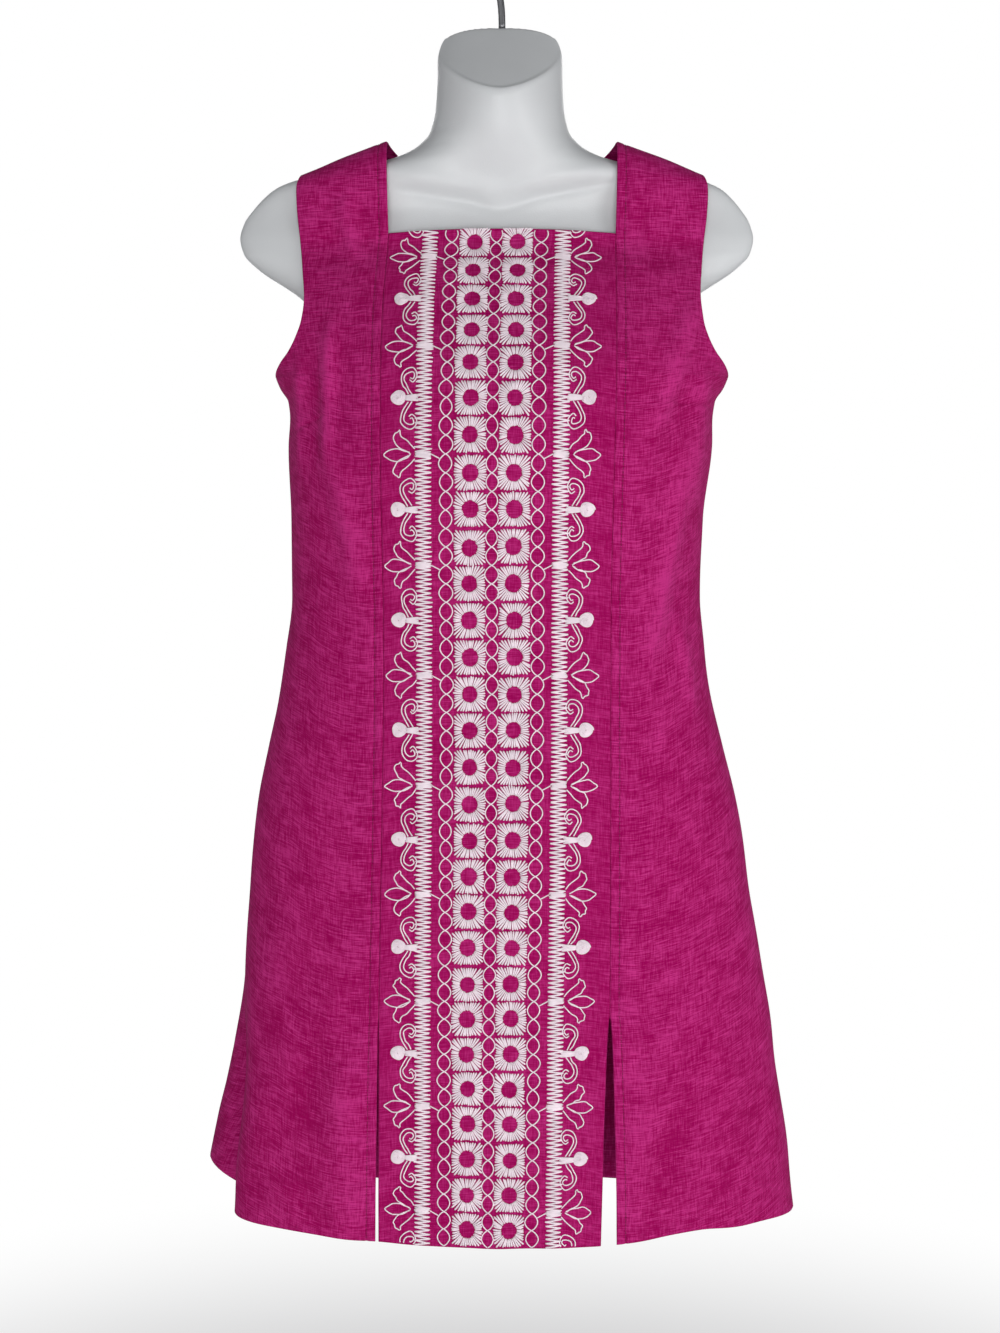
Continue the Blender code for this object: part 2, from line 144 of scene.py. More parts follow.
# Half width, front, back and squareness of the dress at each level
DRESS_HALF = (
    (-1.113, 0.2590), (-1.054, 0.2532), (-1.009, 0.2459), (-0.919, 0.2330), (-0.829, 0.2186),
    (-0.785, 0.2139), (-0.741, 0.2074), (-0.697, 0.1973), (-0.653, 0.1869), (-0.610, 0.1804),
    (-0.566, 0.1758), (-0.501, 0.1765), (-0.437, 0.1812), (-0.416, 0.1803), (-0.401, 0.1820),
    (-0.390, 0.1890), (-0.381, 0.1930), (-0.340, 0.2080), (-0.300, 0.2130), (-0.262, 0.2140),
    (-0.240, 0.2090), (-0.225, 0.2000), (-0.214, 0.1850), (-0.2085, 0.1715), (-0.203, 0.1580),
    (-0.195, 0.1385), (-0.187, 0.1175), (-0.180, 0.0976), (-0.172, 0.0760),
)
DRESS_FRONT = (
    (-1.113, -0.085), (-0.950, -0.093), (-0.850, -0.097), (-0.750, -0.099), (-0.650, -0.098),
    (-0.565, -0.101), (-0.500, -0.108), (-0.440, -0.117), (-0.415, -0.115), (-0.380, -0.106),
    (-0.340, -0.086), (-0.300, -0.061), (-0.2655, -0.038), (-0.220, -0.035), (-0.172, -0.031),
)
DRESS_BACK = (
    (-1.113, 0.076), (-0.950, 0.078), (-0.850, 0.076), (-0.750, 0.070), (-0.650, 0.058),
    (-0.565, 0.052), (-0.500, 0.055), (-0.415, 0.068), (-0.340, 0.072), (-0.2655, 0.064),
    (-0.220, 0.052), (-0.172, 0.046),
)
DRESS_SQUARE = ((-1.113, 2.2), (-0.500, 2.3), (-0.380, 2.3), (-0.262, 2.1), (-0.172, 2.0))
DRESS_SHIFT = (
    (-1.113, -0.0010), (-0.919, 0.0), (-0.785, -0.0030), (-0.653, -0.0060), (-0.501, -0.0043),
    (-0.400, 0.0), (-0.172, 0.0),
)

# Where the panel seams run, the armhole edges and the middle plane of the sides
SEAM_LEFT = (
    (-1.113, -0.1065), (-0.915, -0.1035), (-0.600, -0.0978), (-0.450, -0.0990), (-0.340, -0.0985),
    (-0.262, -0.0950),
)
SEAM_RIGHT = ((-1.113, 0.0908), (-0.915, 0.0905), (-0.600, 0.0899), (-0.262, 0.0950))
ARM_EDGE = (
    (-0.381, 0.1930), (-0.377, 0.1912), (-0.370, 0.1860), (-0.361, 0.1782), (-0.350, 0.1722),
    (-0.335, 0.1670), (-0.318, 0.1650), (-0.292, 0.1670), (-0.266, 0.1700), (-0.240, 0.1730),
    (-0.220, 0.1740), (-0.2085, 0.1715),
)
SIDE_Y = ((-1.113, 0.0), (-0.381, 0.0), (-0.262, 0.004), (-0.172, 0.008))

# Soft folds: turn from centre front, spread, reach at the hem, and the level it starts at
FOLDS = (
    (-85.0, 15.0, -0.0400, -0.84),
    (-109.0, 13.0, 0.0320, -0.86),
    (-34.0, 9.0, 0.0040, -0.80),
    (47.0, 10.0, 0.0050, -0.80),
    (108.0, 15.0, 0.0030, -0.84),
    (141.0, 12.0, -0.0080, -0.76),
    (167.0, 13.0, 0.0090, -0.70),
    (-160.0, 13.0, -0.0070, -0.74),
)
HEM_LIFT = (
    (-180.0, 0.000), (-150.0, 0.010), (-124.0, 0.032), (-106.0, 0.038), (-88.0, 0.019),
    (-70.0, 0.009), (-40.0, 0.006), (-18.0, 0.000), (0.0, -0.003), (18.0, -0.002), (42.0, 0.008),
    (90.0, 0.005), (120.0, 0.007), (180.0, 0.000),
)

# Half width, front, back and squareness of the torso form at each level
FORM_HALF = (
    (-0.790, 0.1560), (-0.750, 0.1560), (-0.650, 0.1420), (-0.565, 0.1310), (-0.500, 0.1400),
    (-0.410, 0.1570), (-0.340, 0.1570), (-0.3225, 0.1590), (-0.3135, 0.1670), (-0.288, 0.2040),
    (-0.275, 0.2160), (-0.262, 0.2190), (-0.249, 0.2155), (-0.2365, 0.2070), (-0.228, 0.1995),
    (-0.220, 0.1900), (-0.2145, 0.1780), (-0.210, 0.1620), (-0.204, 0.1320), (-0.199, 0.1080),
    (-0.194, 0.0890), (-0.185, 0.0705), (-0.172, 0.0590), (-0.150, 0.0543), (-0.120, 0.0530),
    (-0.080, 0.0530),
)
FORM_SHIFT = (
    (-0.790, -0.0030), (-0.330, -0.0040), (-0.260, -0.0045), (-0.200, -0.0025), (-0.172, -0.0020),
    (-0.080, -0.0015),
)
FORM_FRONT = (
    (-0.790, -0.082), (-0.700, -0.080), (-0.565, -0.078), (-0.500, -0.092), (-0.440, -0.109),
    (-0.415, -0.108), (-0.380, -0.098), (-0.340, -0.078), (-0.300, -0.0515), (-0.265, -0.0320),
    (-0.240, -0.0225), (-0.220, -0.0290), (-0.206, -0.0360), (-0.191, -0.0440), (-0.172, -0.0520),
    (-0.150, -0.0565), (-0.080, -0.0580),
)
FORM_BACK = (
    (-0.790, 0.062), (-0.700, 0.056), (-0.565, 0.036), (-0.500, 0.042), (-0.415, 0.057),
    (-0.340, 0.061), (-0.265, 0.051), (-0.235, 0.041), (-0.210, 0.037), (-0.172, 0.038),
    (-0.080, 0.041),
)
FORM_SQUARE = ((-0.790, 2.2), (-0.300, 2.1), (-0.262, 2.0), (-0.225, 1.8), (-0.190, 1.75), (-0.080, 1.75))

# The form's collarbones, a groove under a soft ridge: height, width and (across, level) spots
COLLARBONES = (
    (-0.0030, 0.0042, (-0.098, -0.2222), (-0.0234, -0.2345), (0.006, -0.2460)),
    (-0.0030, 0.0042, (0.104, -0.2164), (0.0284, -0.2305), (-0.008, -0.2450)),
    (0.0034, 0.0085, (-0.100, -0.2120), (-0.0234, -0.2230), (0.010, -0.2330)),
    (0.0034, 0.0085, (0.106, -0.2060), (0.0284, -0.2190), (-0.012, -0.2320)),
)

# Soft creases of the front: height, width and the (across, level) spots they run through
FRONT_CREASES = (
    (-0.0014, 0.006, (-0.124, -0.228), (-0.108, -0.276)),
    (0.0034, 0.008, (-0.136, -0.226), (-0.120, -0.290)),
    (-0.0012, 0.006, (0.124, -0.232), (0.110, -0.272)),
    (0.0046, 0.010, (0.166, -0.300), (0.133, -0.401), (0.112, -0.440)),
    (0.0038, 0.009, (0.168, -0.362), (0.163, -0.430), (0.154, -0.500)),
    (-0.0014, 0.010, (0.150, -0.375), (0.139, -0.440), (0.137, -0.480)),
    (0.0042, 0.009, (0.149, -0.420), (0.146, -0.485), (0.128, -0.590), (0.116, -0.650)),
    (0.0016, 0.005, (0.135, -0.530), (0.126, -0.585), (0.112, -0.645)),
    (0.0026, 0.007, (0.143, -0.570), (0.156, -0.628), (0.162, -0.680)),
    (0.0042, 0.007, (-0.141, -0.320), (-0.144, -0.470)),
    (0.0030, 0.006, (-0.167, -0.352), (-0.168, -0.470)),
    (-0.0014, 0.007, (-0.153, -0.345), (-0.154, -0.485)),
    (0.0036, 0.011, (-0.141, -0.440), (-0.128, -0.500), (-0.115, -0.580)),
    (0.0006, 0.003, (0.112, -0.473), (0.142, -0.480)),
    (0.0006, 0.003, (0.108, -0.491), (0.140, -0.496)),
    (0.0006, 0.003, (0.110, -0.510), (0.138, -0.512)),
    (0.0005, 0.003, (0.112, -0.527), (0.132, -0.531)),
    (-0.0026, 0.017, (0.172, -0.915), (0.140, -1.026), (0.130, -1.100)),
    (0.0022, 0.017, (0.146, -0.915), (0.115, -1.020), (0.103, -1.130)),
    (-0.0022, 0.018, (-0.160, -0.900), (-0.168, -1.130)),
    (0.0022, 0.016, (-0.130, -0.930), (-0.138, -1.130)),
    (0.0012, 0.020, (0.032, -0.920), (0.036, -1.130)),
    (-0.0010, 0.020, (-0.058, -0.930), (-0.064, -1.130)),
)
# The same on the back, where none is seen: drags at the waist and soft flutes to the hem
BACK_CREASES = (
    (0.0022, 0.012, (-0.100, -0.480), (-0.116, -0.640)),
    (0.0022, 0.012, (0.092, -0.490), (0.104, -0.660)),
    (0.0018, 0.006, (-0.095, -0.533), (0.000, -0.541), (0.086, -0.526)),
    (0.0014, 0.006, (-0.070, -0.560), (0.010, -0.566), (0.094, -0.553)),
    (0.0016, 0.009, (-0.150, -0.340), (-0.105, -0.420)),
    (0.0016, 0.009, (0.152, -0.335), (0.108, -0.415)),
    (0.0030, 0.018, (-0.062, -0.860), (-0.078, -1.130)),
    (-0.0030, 0.018, (0.088, -0.870), (0.104, -1.130)),
    (0.0020, 0.016, (0.020, -0.900), (0.026, -1.130)),
)
DARTS = (
    (-0.0010, 0.0016, (0.177, -0.4090), (0.164, -0.4030), (0.150, -0.4050), (0.132, -0.4010)),
    (-0.0010, 0.0016, (-0.176, -0.4300), (-0.160, -0.4200), (-0.140, -0.4120)),
)
CREASE_TAPER = 3.5
TIGHTEST = -0.0014
FREE_BELOW = -0.800
RIPPLES = (0.00022, 0.00040)
RIPPLE_AT_HEM = 1.2
RIPPLE_DEPTH = 0.3

# Embroidery: places across, from the middle of the band, and down the panel
BAND_MIDDLE = -0.0044
ROWS = 29
FIRST_ROW = 0.0120
PITCH = 0.0303
COLUMN = 0.0180
SQUARE_HALF = (0.0127, 0.0142)
HOLE = (0.0067, 0.0073)
RAYS = 40
CHAIN = 0.0372
CHAIN_HALF = 0.0053
MIDDLE_CHAIN_HALF = 0.0050
BAR = 0.0555
BAR_HALF = 0.0064
BAR_PITCH = 0.0038
KNOB_OUT = {-1.0: 0.0760, 1.0: 0.0775}
KNOB_RADIUS = 0.0061
KNOB_TURNS = 7
KNOB_RISE = 0.0008
KNOB_LUMP = 0.00022
KNOB_STEPS = 170
NECK_WIDE = (0.0036, 0.0064)
NECK_THREADS = 5
TIE_WIDE = (0.0046, 0.0046)
TIE_THREADS = 4
TIE_DROP = 0.0040
CHAIN_STEPS = 16
CHAIN_ROUND = 0.75
CURVE_STEP = 0.0009
LINE_LIFT = 0.0001
SCROLL_WOBBLE = 0.00022
PETAL_WOBBLE = 0.00025
EDGE_CLEAR = 0.0012
THREAD = 0.00050
FINE_THREAD = 0.00054
THREAD_SIDES = 6
# One satin stitch of each sort: shares along it, and its radius and rise there in millimetres
RAY_STITCH = (
    (0.00, 0.08, 0.35, 0.65, 0.92, 1.00),
    (0.40, 0.56, 0.70, 0.82, 0.80, 0.46),
    (-0.10, 0.05, 0.30, 0.30, 0.05, -0.10),
)
BAR_STITCH = (
    (0.00, 0.05, 0.30, 0.70, 0.95, 1.00),
    (0.50, 0.70, 0.76, 0.76, 0.70, 0.50),
    (-0.10, 0.10, 0.35, 0.35, 0.10, -0.10),
)
BLOCK_STITCH = (
    (0.00, 0.10, 0.50, 0.90, 1.00),
    (0.40, 0.60, 0.70, 0.60, 0.40),
    (0.10, 0.45, 0.55, 0.45, 0.10),
)
# The scroll below a knob and the petals beside a bar: (out from the bar, down from the middle)
SCROLL_OUTER = (
    (6.0, 3.0), (8.4, 7.0), (10.6, 10.6), (12.1, 15.3), (11.6, 20.2), (8.0, 24.4), (2.9, 25.6),
    (-0.4, 21.8), (-0.6, 17.4), (2.4, 13.6), (5.2, 15.2),
)
SCROLL_INNER = (
    (3.0, 3.0), (5.6, 7.4), (7.6, 10.6), (9.5, 15.3), (8.8, 19.1), (5.6, 21.4), (2.2, 21.3), (1.1, 19.0),
    (2.8, 16.4), (4.6, 17.4),
)
SIDE_PETAL = (
    (0.3, 3.8), (3.5, 7.6), (6.7, 10.8), (10.5, 13.7), (12.1, 15.9), (12.3, 18.2), (13.2, 19.2),
    (14.5, 17.8), (16.5, 16.8), (17.5, 14.6), (17.9, 12.2), (16.3, 9.3), (14.6, 6.6), (11.6, 4.6),
    (8.2, 2.9), (4.6, 1.2),
)
MIDDLE_PETAL = (
    (3.6, 0.3), (6.4, 2.6), (10.0, 4.6), (14.0, 5.6), (19.0, 5.4), (22.8, 3.6), (25.6, 0.8),
    (22.4, -2.0), (18.8, -4.2), (13.6, -4.2), (9.0, -3.0), (5.6, -1.4), (3.6, -0.2),
)
MILLIMETRE = 0.001

# Topstitching beside the neck and the panel seams
STITCH_IN = 0.0075
STITCH_LONG = 0.0027
STITCH_GAP = 0.0008
STITCH_RADIUS = 0.00034
STITCH_DENT = 0.0007
STITCH_DENT_WIDE = 0.0011
STITCH_START = 0.002
SEAM_STITCH = (
    (0.00, 0.15, 0.50, 0.85, 1.00),
    (0.60, 1.00, 1.00, 1.00, 0.60),
    (-0.20, 0.05, 0.12, 0.05, -0.20),
)

# Colours
CLOTH_DEEP = (0.303, 0.0004, 0.083, 1.0)
CLOTH_LIGHT = (0.535, 0.0290, 0.212, 1.0)
THREAD_COLOUR = (0.950, 0.820, 0.890, 1.0)
STITCH_COLOUR = (0.170, 0.001, 0.050, 1.0)
# Painted shade: the front panel's cloth is painted deeper than the other cloth, at this share of its
# paleness
PANEL_PALENESS = 0.7
# Painted sheen and shade: how much paler the crease ridges and how much deeper the troughs are painted, per
# metre of crease height
FOLD_SHEEN_AND_SHADE = 90.0
# Layers of the weave: stretch, detail, offset, and how much each one pales and raises the cloth
WEAVE = (
    ((82.0, 1500.0, 1.0), 2.0, 0.0, 0.95, 1.0),
    ((1600.0, 110.0, 1.0), 2.0, 3.7, 0.66, 1.0),
    ((62.0, 760.0, 1.0), 1.0, 2.3, 0.50, 0.6),
    ((740.0, 72.0, 1.0), 1.0, 11.3, 0.36, 0.0),
    ((34.0, 46.0, 1.0), 2.0, 5.9, 0.36, 0.0),
)
SLUBS = ((30.0, 640.0, 1.0), 1.0, 7.1, 0.34, 0.8)
SLUB_PEAK = (0.70, 1.0)
WEAVE_BASE = 0.32
FORM_COLOUR = (0.655, 0.668, 0.678, 1.0)
WIRE_COLOUR = (0.270, 0.270, 0.283, 1.0)

# Stage
FLOOR_LEVEL = -1.62
FLOOR_REACH = 40.0
FLOOR_FADE = (0.4, 1.5)
PALE = (0.80, 0.80, 0.805, 1.0)
WHITE = (1.0, 1.0, 1.0, 1.0)
SKY = (0.95, 0.97, 1.0, 1.0)
WORLD_LIGHT = 0.225
LIGHTS_AIM = (0.0, -0.05, -0.62)
# Each light's name, place, size and watts
LIGHTS = (
    ("front_soft_box", (0.0, -3.4, -1.05), (2.4, 1.7), 68.0),
    ("left_soft_box", (-2.3, -1.9, -0.3), (1.2, 1.8), 7.0),
    ("right_soft_box", (2.3, -1.7, -0.6), (1.2, 1.8), 26.0),
    ("back_soft_box", (0.0, 3.2, 0.2), (2.6, 1.8), 44.0),
)
CAMERA_PLACE = (-0.0017, -1.765, -0.476)
CAMERA_PITCH = 5.0
CAMERA_LENS = 54.34
SENSOR = 36.0
CLIP_START = 0.05

random = np.random.default_rng(7)


def mix(start, end, share):
    return start + (end - start) * share


def eased(share):
    share = np.clip(share, 0.0, 1.0)
    return share * share * (3.0 - 2.0 * share)


def smooth(points):
    """The monotone cubic curve through (place, value) pairs, held level past its ends."""
    places = np.array([place for place, _ in points])
    values = np.array([value for _, value in points])
    steps = np.diff(places)
    rises = np.diff(values) / steps
    inner = np.where(
        rises[:-1] * rises[1:] <= 0.0,
        0.0,
        2.0 * rises[:-1] * rises[1:] / np.where(rises[:-1] + rises[1:] == 0.0, 1.0, rises[:-1] + rises[1:]),
    )
    slopes = np.concatenate(([rises[0]], inner, [rises[-1]]))

    def value_at(place):
        place = np.clip(place, places[0], places[-1])
        index = np.clip(np.searchsorted(places, place, side="right") - 1, 0, len(steps) - 1)
        step = steps[index]
        share = (place - places[index]) / step
        rest = 1.0 - share
        return (
            values[index] * rest * rest * (1.0 + 2.0 * share)
            + values[index + 1] * share * share * (3.0 - 2.0 * share)
            + slopes[index] * step * share * rest * rest
            - slopes[index + 1] * step * share * share * rest
        )

    return value_at


side_y = smooth(SIDE_Y)
seam_left = smooth(SEAM_LEFT)
seam_right = smooth(SEAM_RIGHT)
arm_edge = smooth(ARM_EDGE)
hem_lift = smooth(HEM_LIFT)


def signed_power(value, power):
    return np.sign(value) * np.abs(value) ** power


def unit(vectors):
    return vectors / np.maximum(np.linalg.norm(vectors, axis=-1, keepdims=True), 1e-12)


def length_along(path):
    """How far along a path each of its points is."""
    return np.concatenate(([0.0], np.cumsum(np.linalg.norm(np.diff(path, axis=0), axis=1))))


class Body:
    """A body drawn through its level sections: the dress or the torso form."""

    def __init__(self, half, front, back, square, shift, folds=()):
        self.half = smooth(half)
        self.front = smooth(front)
        self.back = smooth(back)
        self.square = smooth(square)
        self.shift = smooth(shift)
        self.folds = folds

    def plain_point(self, level, turn):
        """The section's points at these turns, in degrees: 0 is centre front, 90 the left side."""
        level, turn = np.broadcast_arrays(np.asarray(level, float), np.asarray(turn, float))
        power = 2.0 / self.square(level)
        across = signed_power(np.sin(np.radians(turn)), power)
        ahead = signed_power(np.cos(np.radians(turn)), power)
        middle = side_y(level)
        depth = np.where(ahead > 0.0, middle - self.front(level), self.back(level) - middle)
        x = self.shift(level) + self.half(level) * across
        return np.stack((x, SHOULDER_Y + middle - ahead * depth, level), axis=-1)

    def point(self, level, turn):
        """The points with the soft folds added, outward across the section."""
        spot = self.plain_point(level, turn)
        reach = np.zeros(spot.shape[:-1])
        for centre, spread, deepest, start in self.folds:
            away = (turn - centre + 180.0) % 360.0 - 180.0
            below = eased((start - level) / (start - HEM))
            reach = reach + deepest * below * np.exp(-((away / spread) ** 2))
        if self.folds:
            along = self.plain_point(level, turn + TURN_STEP) - self.plain_point(level, turn - TURN_STEP)
            outward = np.stack((along[..., 1], -along[..., 0], np.zeros(along.shape[:-1])), axis=-1)
            spot = spot + unit(outward) * reach[..., None]
        return spot

    def normal(self, level, turn):
        across = self.point(level, turn + TURN_STEP) - self.point(level, turn - TURN_STEP)
        upward = self.point(level + LEVEL_STEP, turn) - self.point(level - LEVEL_STEP, turn)
        return unit(np.cross(across, upward))

    def turn_at(self, level, x):
        """The front turn of the section's point at this x."""
        share = np.minimum(1.0, np.abs(x - self.shift(level)) / self.half(level))
        turn = np.degrees(np.arcsin(share ** (self.square(level) / 2.0)))
        return np.copysign(turn, x - self.shift(level))


DRESS = Body(DRESS_HALF, DRESS_FRONT, DRESS_BACK, DRESS_SQUARE, DRESS_SHIFT, FOLDS)
FORM = Body(FORM_HALF, FORM_FRONT, FORM_BACK, FORM_SQUARE, FORM_SHIFT)


def shoulder_level(x):
    """The level of the shoulder ridge at this distance from the middle."""
    low = np.full(np.shape(x), SHOULDER_SEARCH[0])
    high = np.full(np.shape(x), SHOULDER_SEARCH[1])
    for _ in range(SEARCH_STEPS):
        middle = (low + high) / 2.0
        inside = DRESS.half(middle) > x
        low = np.where(inside, middle, low)
        high = np.where(inside, high, middle)
    return (low + high) / 2.0


def lifted(level, turn):
    return level + hem_lift(turn) * eased((LIFT_FROM - level) / (LIFT_FROM - HEM))


def slit(level, gap):
    """Half of the space between the two edges of a panel seam."""
    opened = np.maximum(0.0, (SLIT_TOP - level) / (SLIT_TOP - HEM)) ** SLIT_CURVE
    return (SEAM_GAP + gap * opened) / 2.0


# Soft creases

def felt(x, level, path, width):
    """How much of a soft ridge along this path is felt here: 1 on it, 0 away from it and past its ends."""
    spots = np.array(path)
    lengths = np.linalg.norm(np.diff(spots, axis=0), axis=1)
    strongest = np.zeros(np.shape(x))
    done = 0.0
    for start, end, length in zip(spots, spots[1:], lengths):
        run = (end - start) / length
        along = np.clip((x - start[0]) * run[0] + (level - start[1]) * run[1], 0.0, length)
        away = np.hypot(x - start[0] - along * run[0], level - start[1] - along * run[1])
        share = (done + along) / lengths.sum()
        taper = eased(share * CREASE_TAPER) * eased((1.0 - share) * CREASE_TAPER)
        strongest = np.maximum(strongest, np.exp(-((away / width) ** 2)) * taper)
        done += length
    return strongest


def ripple(x, level):
    """The cloth's own unevenness: faint, and a little stronger towards the free hem."""
    first = np.sin(x * 131.0 + 1.7 * np.sin(level * 23.0)) * np.sin(level * 47.0 + x * 21.0)
    second = np.sin(x * 61.0 - level * 37.0 + 0.8) * np.sin(level * 19.0 - x * 33.0)
    stronger = 1.0 + RIPPLE_AT_HEM * eased((FREE_BELOW - level) / RIPPLE_DEPTH)
    return (RIPPLES[0] * first + RIPPLES[1] * second) * stronger


def relief(spots, toward_back):
    """How far the creases stand out from the plain cloth, or in where it is negative."""
    x, level = spots[..., 0], spots[..., 2]
    total = ripple(x, level)
    for height, width, *path in BACK_CREASES if toward_back else FRONT_CREASES:
        total = total + height * felt(x, level, path, width)
    held = np.maximum(total, TIGHTEST)
    total = np.where(level > FREE_BELOW, held, total)
    if not toward_back:
        for height, width, *path in DARTS:
            total = total + height * felt(x, level, path, width)
    return total


def cloth_surface(level, turn, toward_back):
    """The cloth's outer points with their creases, and the directions they face."""
    spots = DRESS.point(level, turn)
    spots[..., 1] += SEAM_GAP / 2.0 if toward_back else -SEAM_GAP / 2.0
    facing = DRESS.normal(level, turn)
    return spots + facing * relief(spots, toward_back)[..., None], facing


# The four pieces of cloth, as places (level, turn) for each row and share across

def all_rows(top_rows):
    """Row levels from the hem up, and for the rows above the neckline how far up they are."""
    levels = []
    for start, end, step in ROW_STEPS:
        count = round((end - start) / step)
        levels += [mix(start, end, i / count) for i in range(count)]
    levels += [FRONT_NECKLINE - drop for drop in reversed(top_rows)]
    levels.append(FRONT_NECKLINE)
    return np.array(sorted(levels))


def front_place(level, strap, share):
    bow = eased((level - FRONT_NECKLINE + BOW_DEPTH) / BOW_DEPTH)
    level = level + NECKLINE_BOW * bow * (1.0 - (2.0 * share - 1.0) ** 2)
    left = seam_left(level) + slit(level, SLIT_GAP_LEFT)
    right = seam_right(level) - slit(level, SLIT_GAP_RIGHT)
    turn = mix(DRESS.turn_at(level, left), DRESS.turn_at(level, right), share)
    return lifted(level, turn), turn


def strap_turn(level, turn, x):
    """From the underarm up, the columns turn into straight lines over the shoulder."""
    share = eased((level - STRAP_LINES_FROM) / (STRAP_LINES_BY - STRAP_LINES_FROM))
    body_x = np.abs(DRESS.plain_point(level, turn)[..., 0])
    straight = DRESS.turn_at(level, mix(body_x, x, share))
    return np.where(share == 0.0, turn, straight)


def outer_turn(level):
    """How far round the cloth reaches: the side seam, or the armhole edge above it."""
    return np.where(level <= UNDERARM, 90.0, DRESS.turn_at(level, arm_edge(level)))


def up_strap(level, strap, top):
    return np.where(strap > 0.0, mix(FRONT_NECKLINE, top, 1.0 - (1.0 - strap) ** 2), level)


def inner_edge(level, side):
    """The panel seam, and above it the neck edge, at this side (+1 or -1)."""
    share = (level - FRONT_NECKLINE) / (SHOULDER_NECK - FRONT_NECKLINE)
    neck = side * (mix(NECK_AT_CORNER, NECK_AT_SHOULDER, share) + SEAM_GAP / 2.0)
    if side > 0.0:
        seam = seam_right(level) + slit(level, SLIT_GAP_RIGHT)
    else:
        seam = seam_left(level) - slit(level, SLIT_GAP_LEFT)
    return np.where(level > FRONT_NECKLINE, neck, seam)


def side_front_place(side):
    def place(level, strap, share):
        share = share if side > 0.0 else 1.0 - share
        level = up_strap(level, strap, shoulder_level(mix(NECK_AT_SHOULDER, STRAP_END, share)))
        inner = inner_edge(level, side)
        turn = mix(DRESS.turn_at(level, inner) * side, outer_turn(level), share)
        turn = strap_turn(level, turn, mix(np.abs(inner), arm_edge(level), share))
        turn = np.where(strap == 1.0, 90.0, turn) * side
        return lifted(level, turn), turn

    return place


def back_place(level, strap, share):
    place = np.abs(1.0 - 2.0 * share)
    x = place * STRAP_END
    scoop = SHOULDER_NECK - BACK_NECK_DROP * (1.0 - np.minimum(1.0, x / NECK_AT_SHOULDER) ** 3)
    top = np.where(x >= NECK_AT_SHOULDER - 1e-6, shoulder_level(x), scoop)
    level = up_strap(level, strap, top)
    turn = outer_turn(level) * place
    turn = strap_turn(level, turn, arm_edge(level) * place)
    turn = np.where((strap == 1.0) & (x >= NECK_AT_SHOULDER - 1e-6), 90.0, turn)
    behind = np.where(share <= 0.5, 180.0 - turn, turn - 180.0)
    return lifted(level, behind), behind


def running_length(spots, axis):
    steps = np.linalg.norm(np.diff(spots, axis=axis), axis=-1)
    padding = [(0, 0), (0, 0)]
    padding[axis] = (1, 0)
    return np.pad(np.cumsum(steps, axis=axis), padding)


def column_shares(place, level, strap, zones):
    """Shares across for each row, with columns at set distances from a zone's finished edges."""
    shares = []
    for start, end, near_start, near_end, count in zones:
        dense = mix(start, end, DENSE)
        spots = DRESS.plain_point(*place(level, strap, dense[None, :]))
        lengths = running_length(spots, 1)
        width = lengths[:, -1:]
        close = np.array(NEAR_EDGE)[None, :] * np.ones_like(width)
        first = close if near_start else np.zeros_like(width)
        last = width - close[:, ::-1] if near_end else width
        middle = mix(first[:, -1:], last[:, :1], np.linspace(0.0, 1.0, count + 2)[None, 1:-1])
        wanted = np.concatenate((first, middle, last), axis=1)
        rows = [np.interp(w, known, dense) for w, known in zip(wanted, lengths)]
        zone = np.array(rows)
        shares.append(zone if not shares else zone[:, 1:])
    return np.concatenate(shares, axis=1)


def rolled(distance, radius):
    """How far an edge rolls under at this distance from it."""
    rest = np.maximum(0.0, radius - distance)
    return radius - np.sqrt(np.maximum(radius * radius - rest * rest, 0.0))


def cloth_grid(place, zones, straps, toward_back, stitched):
    """The outer and inner points of a piece, its flat coordinates, and how far its creases stand out."""
    rows = all_rows(TOP_ROWS)
    level = rows[:, None]
    strap = np.zeros_like(level)
    if straps:
        steps = np.linspace(0.0, 1.0, straps + 1)[1:, None]
        level = np.concatenate((level, np.full_like(steps, FRONT_NECKLINE)))
        strap = np.concatenate((strap, steps))
    share = column_shares(place, level, strap, zones)
    at_level, turn = place(level, strap, share)
    outer, facing = cloth_surface(at_level, turn, toward_back)
    across = running_length(outer, 1)
    along = running_length(outer, 0)
    from_right = across[:, -1:] - across
    from_top = along[-1:, :] - along
    under = rolled(np.minimum(across, from_right), SEAM_ROLL) * SEAM_SINK
    under = np.maximum(under, rolled(np.minimum(along, from_top), EDGE_ROLL) * EDGE_SINK)
    for side in stitched:
        away = across if side > 0.0 else from_right
        under = under + STITCH_DENT * np.exp(-(((away - STITCH_IN) / STITCH_DENT_WIDE) ** 2))
    edge = np.minimum(np.minimum(across, from_right), from_top) / FACING_DEPTH
    hem = along / HEM_DEPTH
    wall = mix(EDGE_WALL, CLOTH_WALL, eased((np.minimum(edge, hem) - THINS_FROM) * THINS_OVER))
    inner = outer - facing * np.maximum(wall, under + THINNEST)[..., None]
    outer = outer - facing * under[..., None]
    middle = across.shape[1] // 2
    flat_across = across - across[:, middle : middle + 1]
    if stitched:
        flat_across = across if stitched[0] > 0.0 else -from_right
    top_row = len(rows) - 1
    flat = np.stack((flat_across, along - along[top_row : top_row + 1]), axis=-1)
    return outer, inner, flat, relief(DRESS.point(at_level, turn), toward_back)


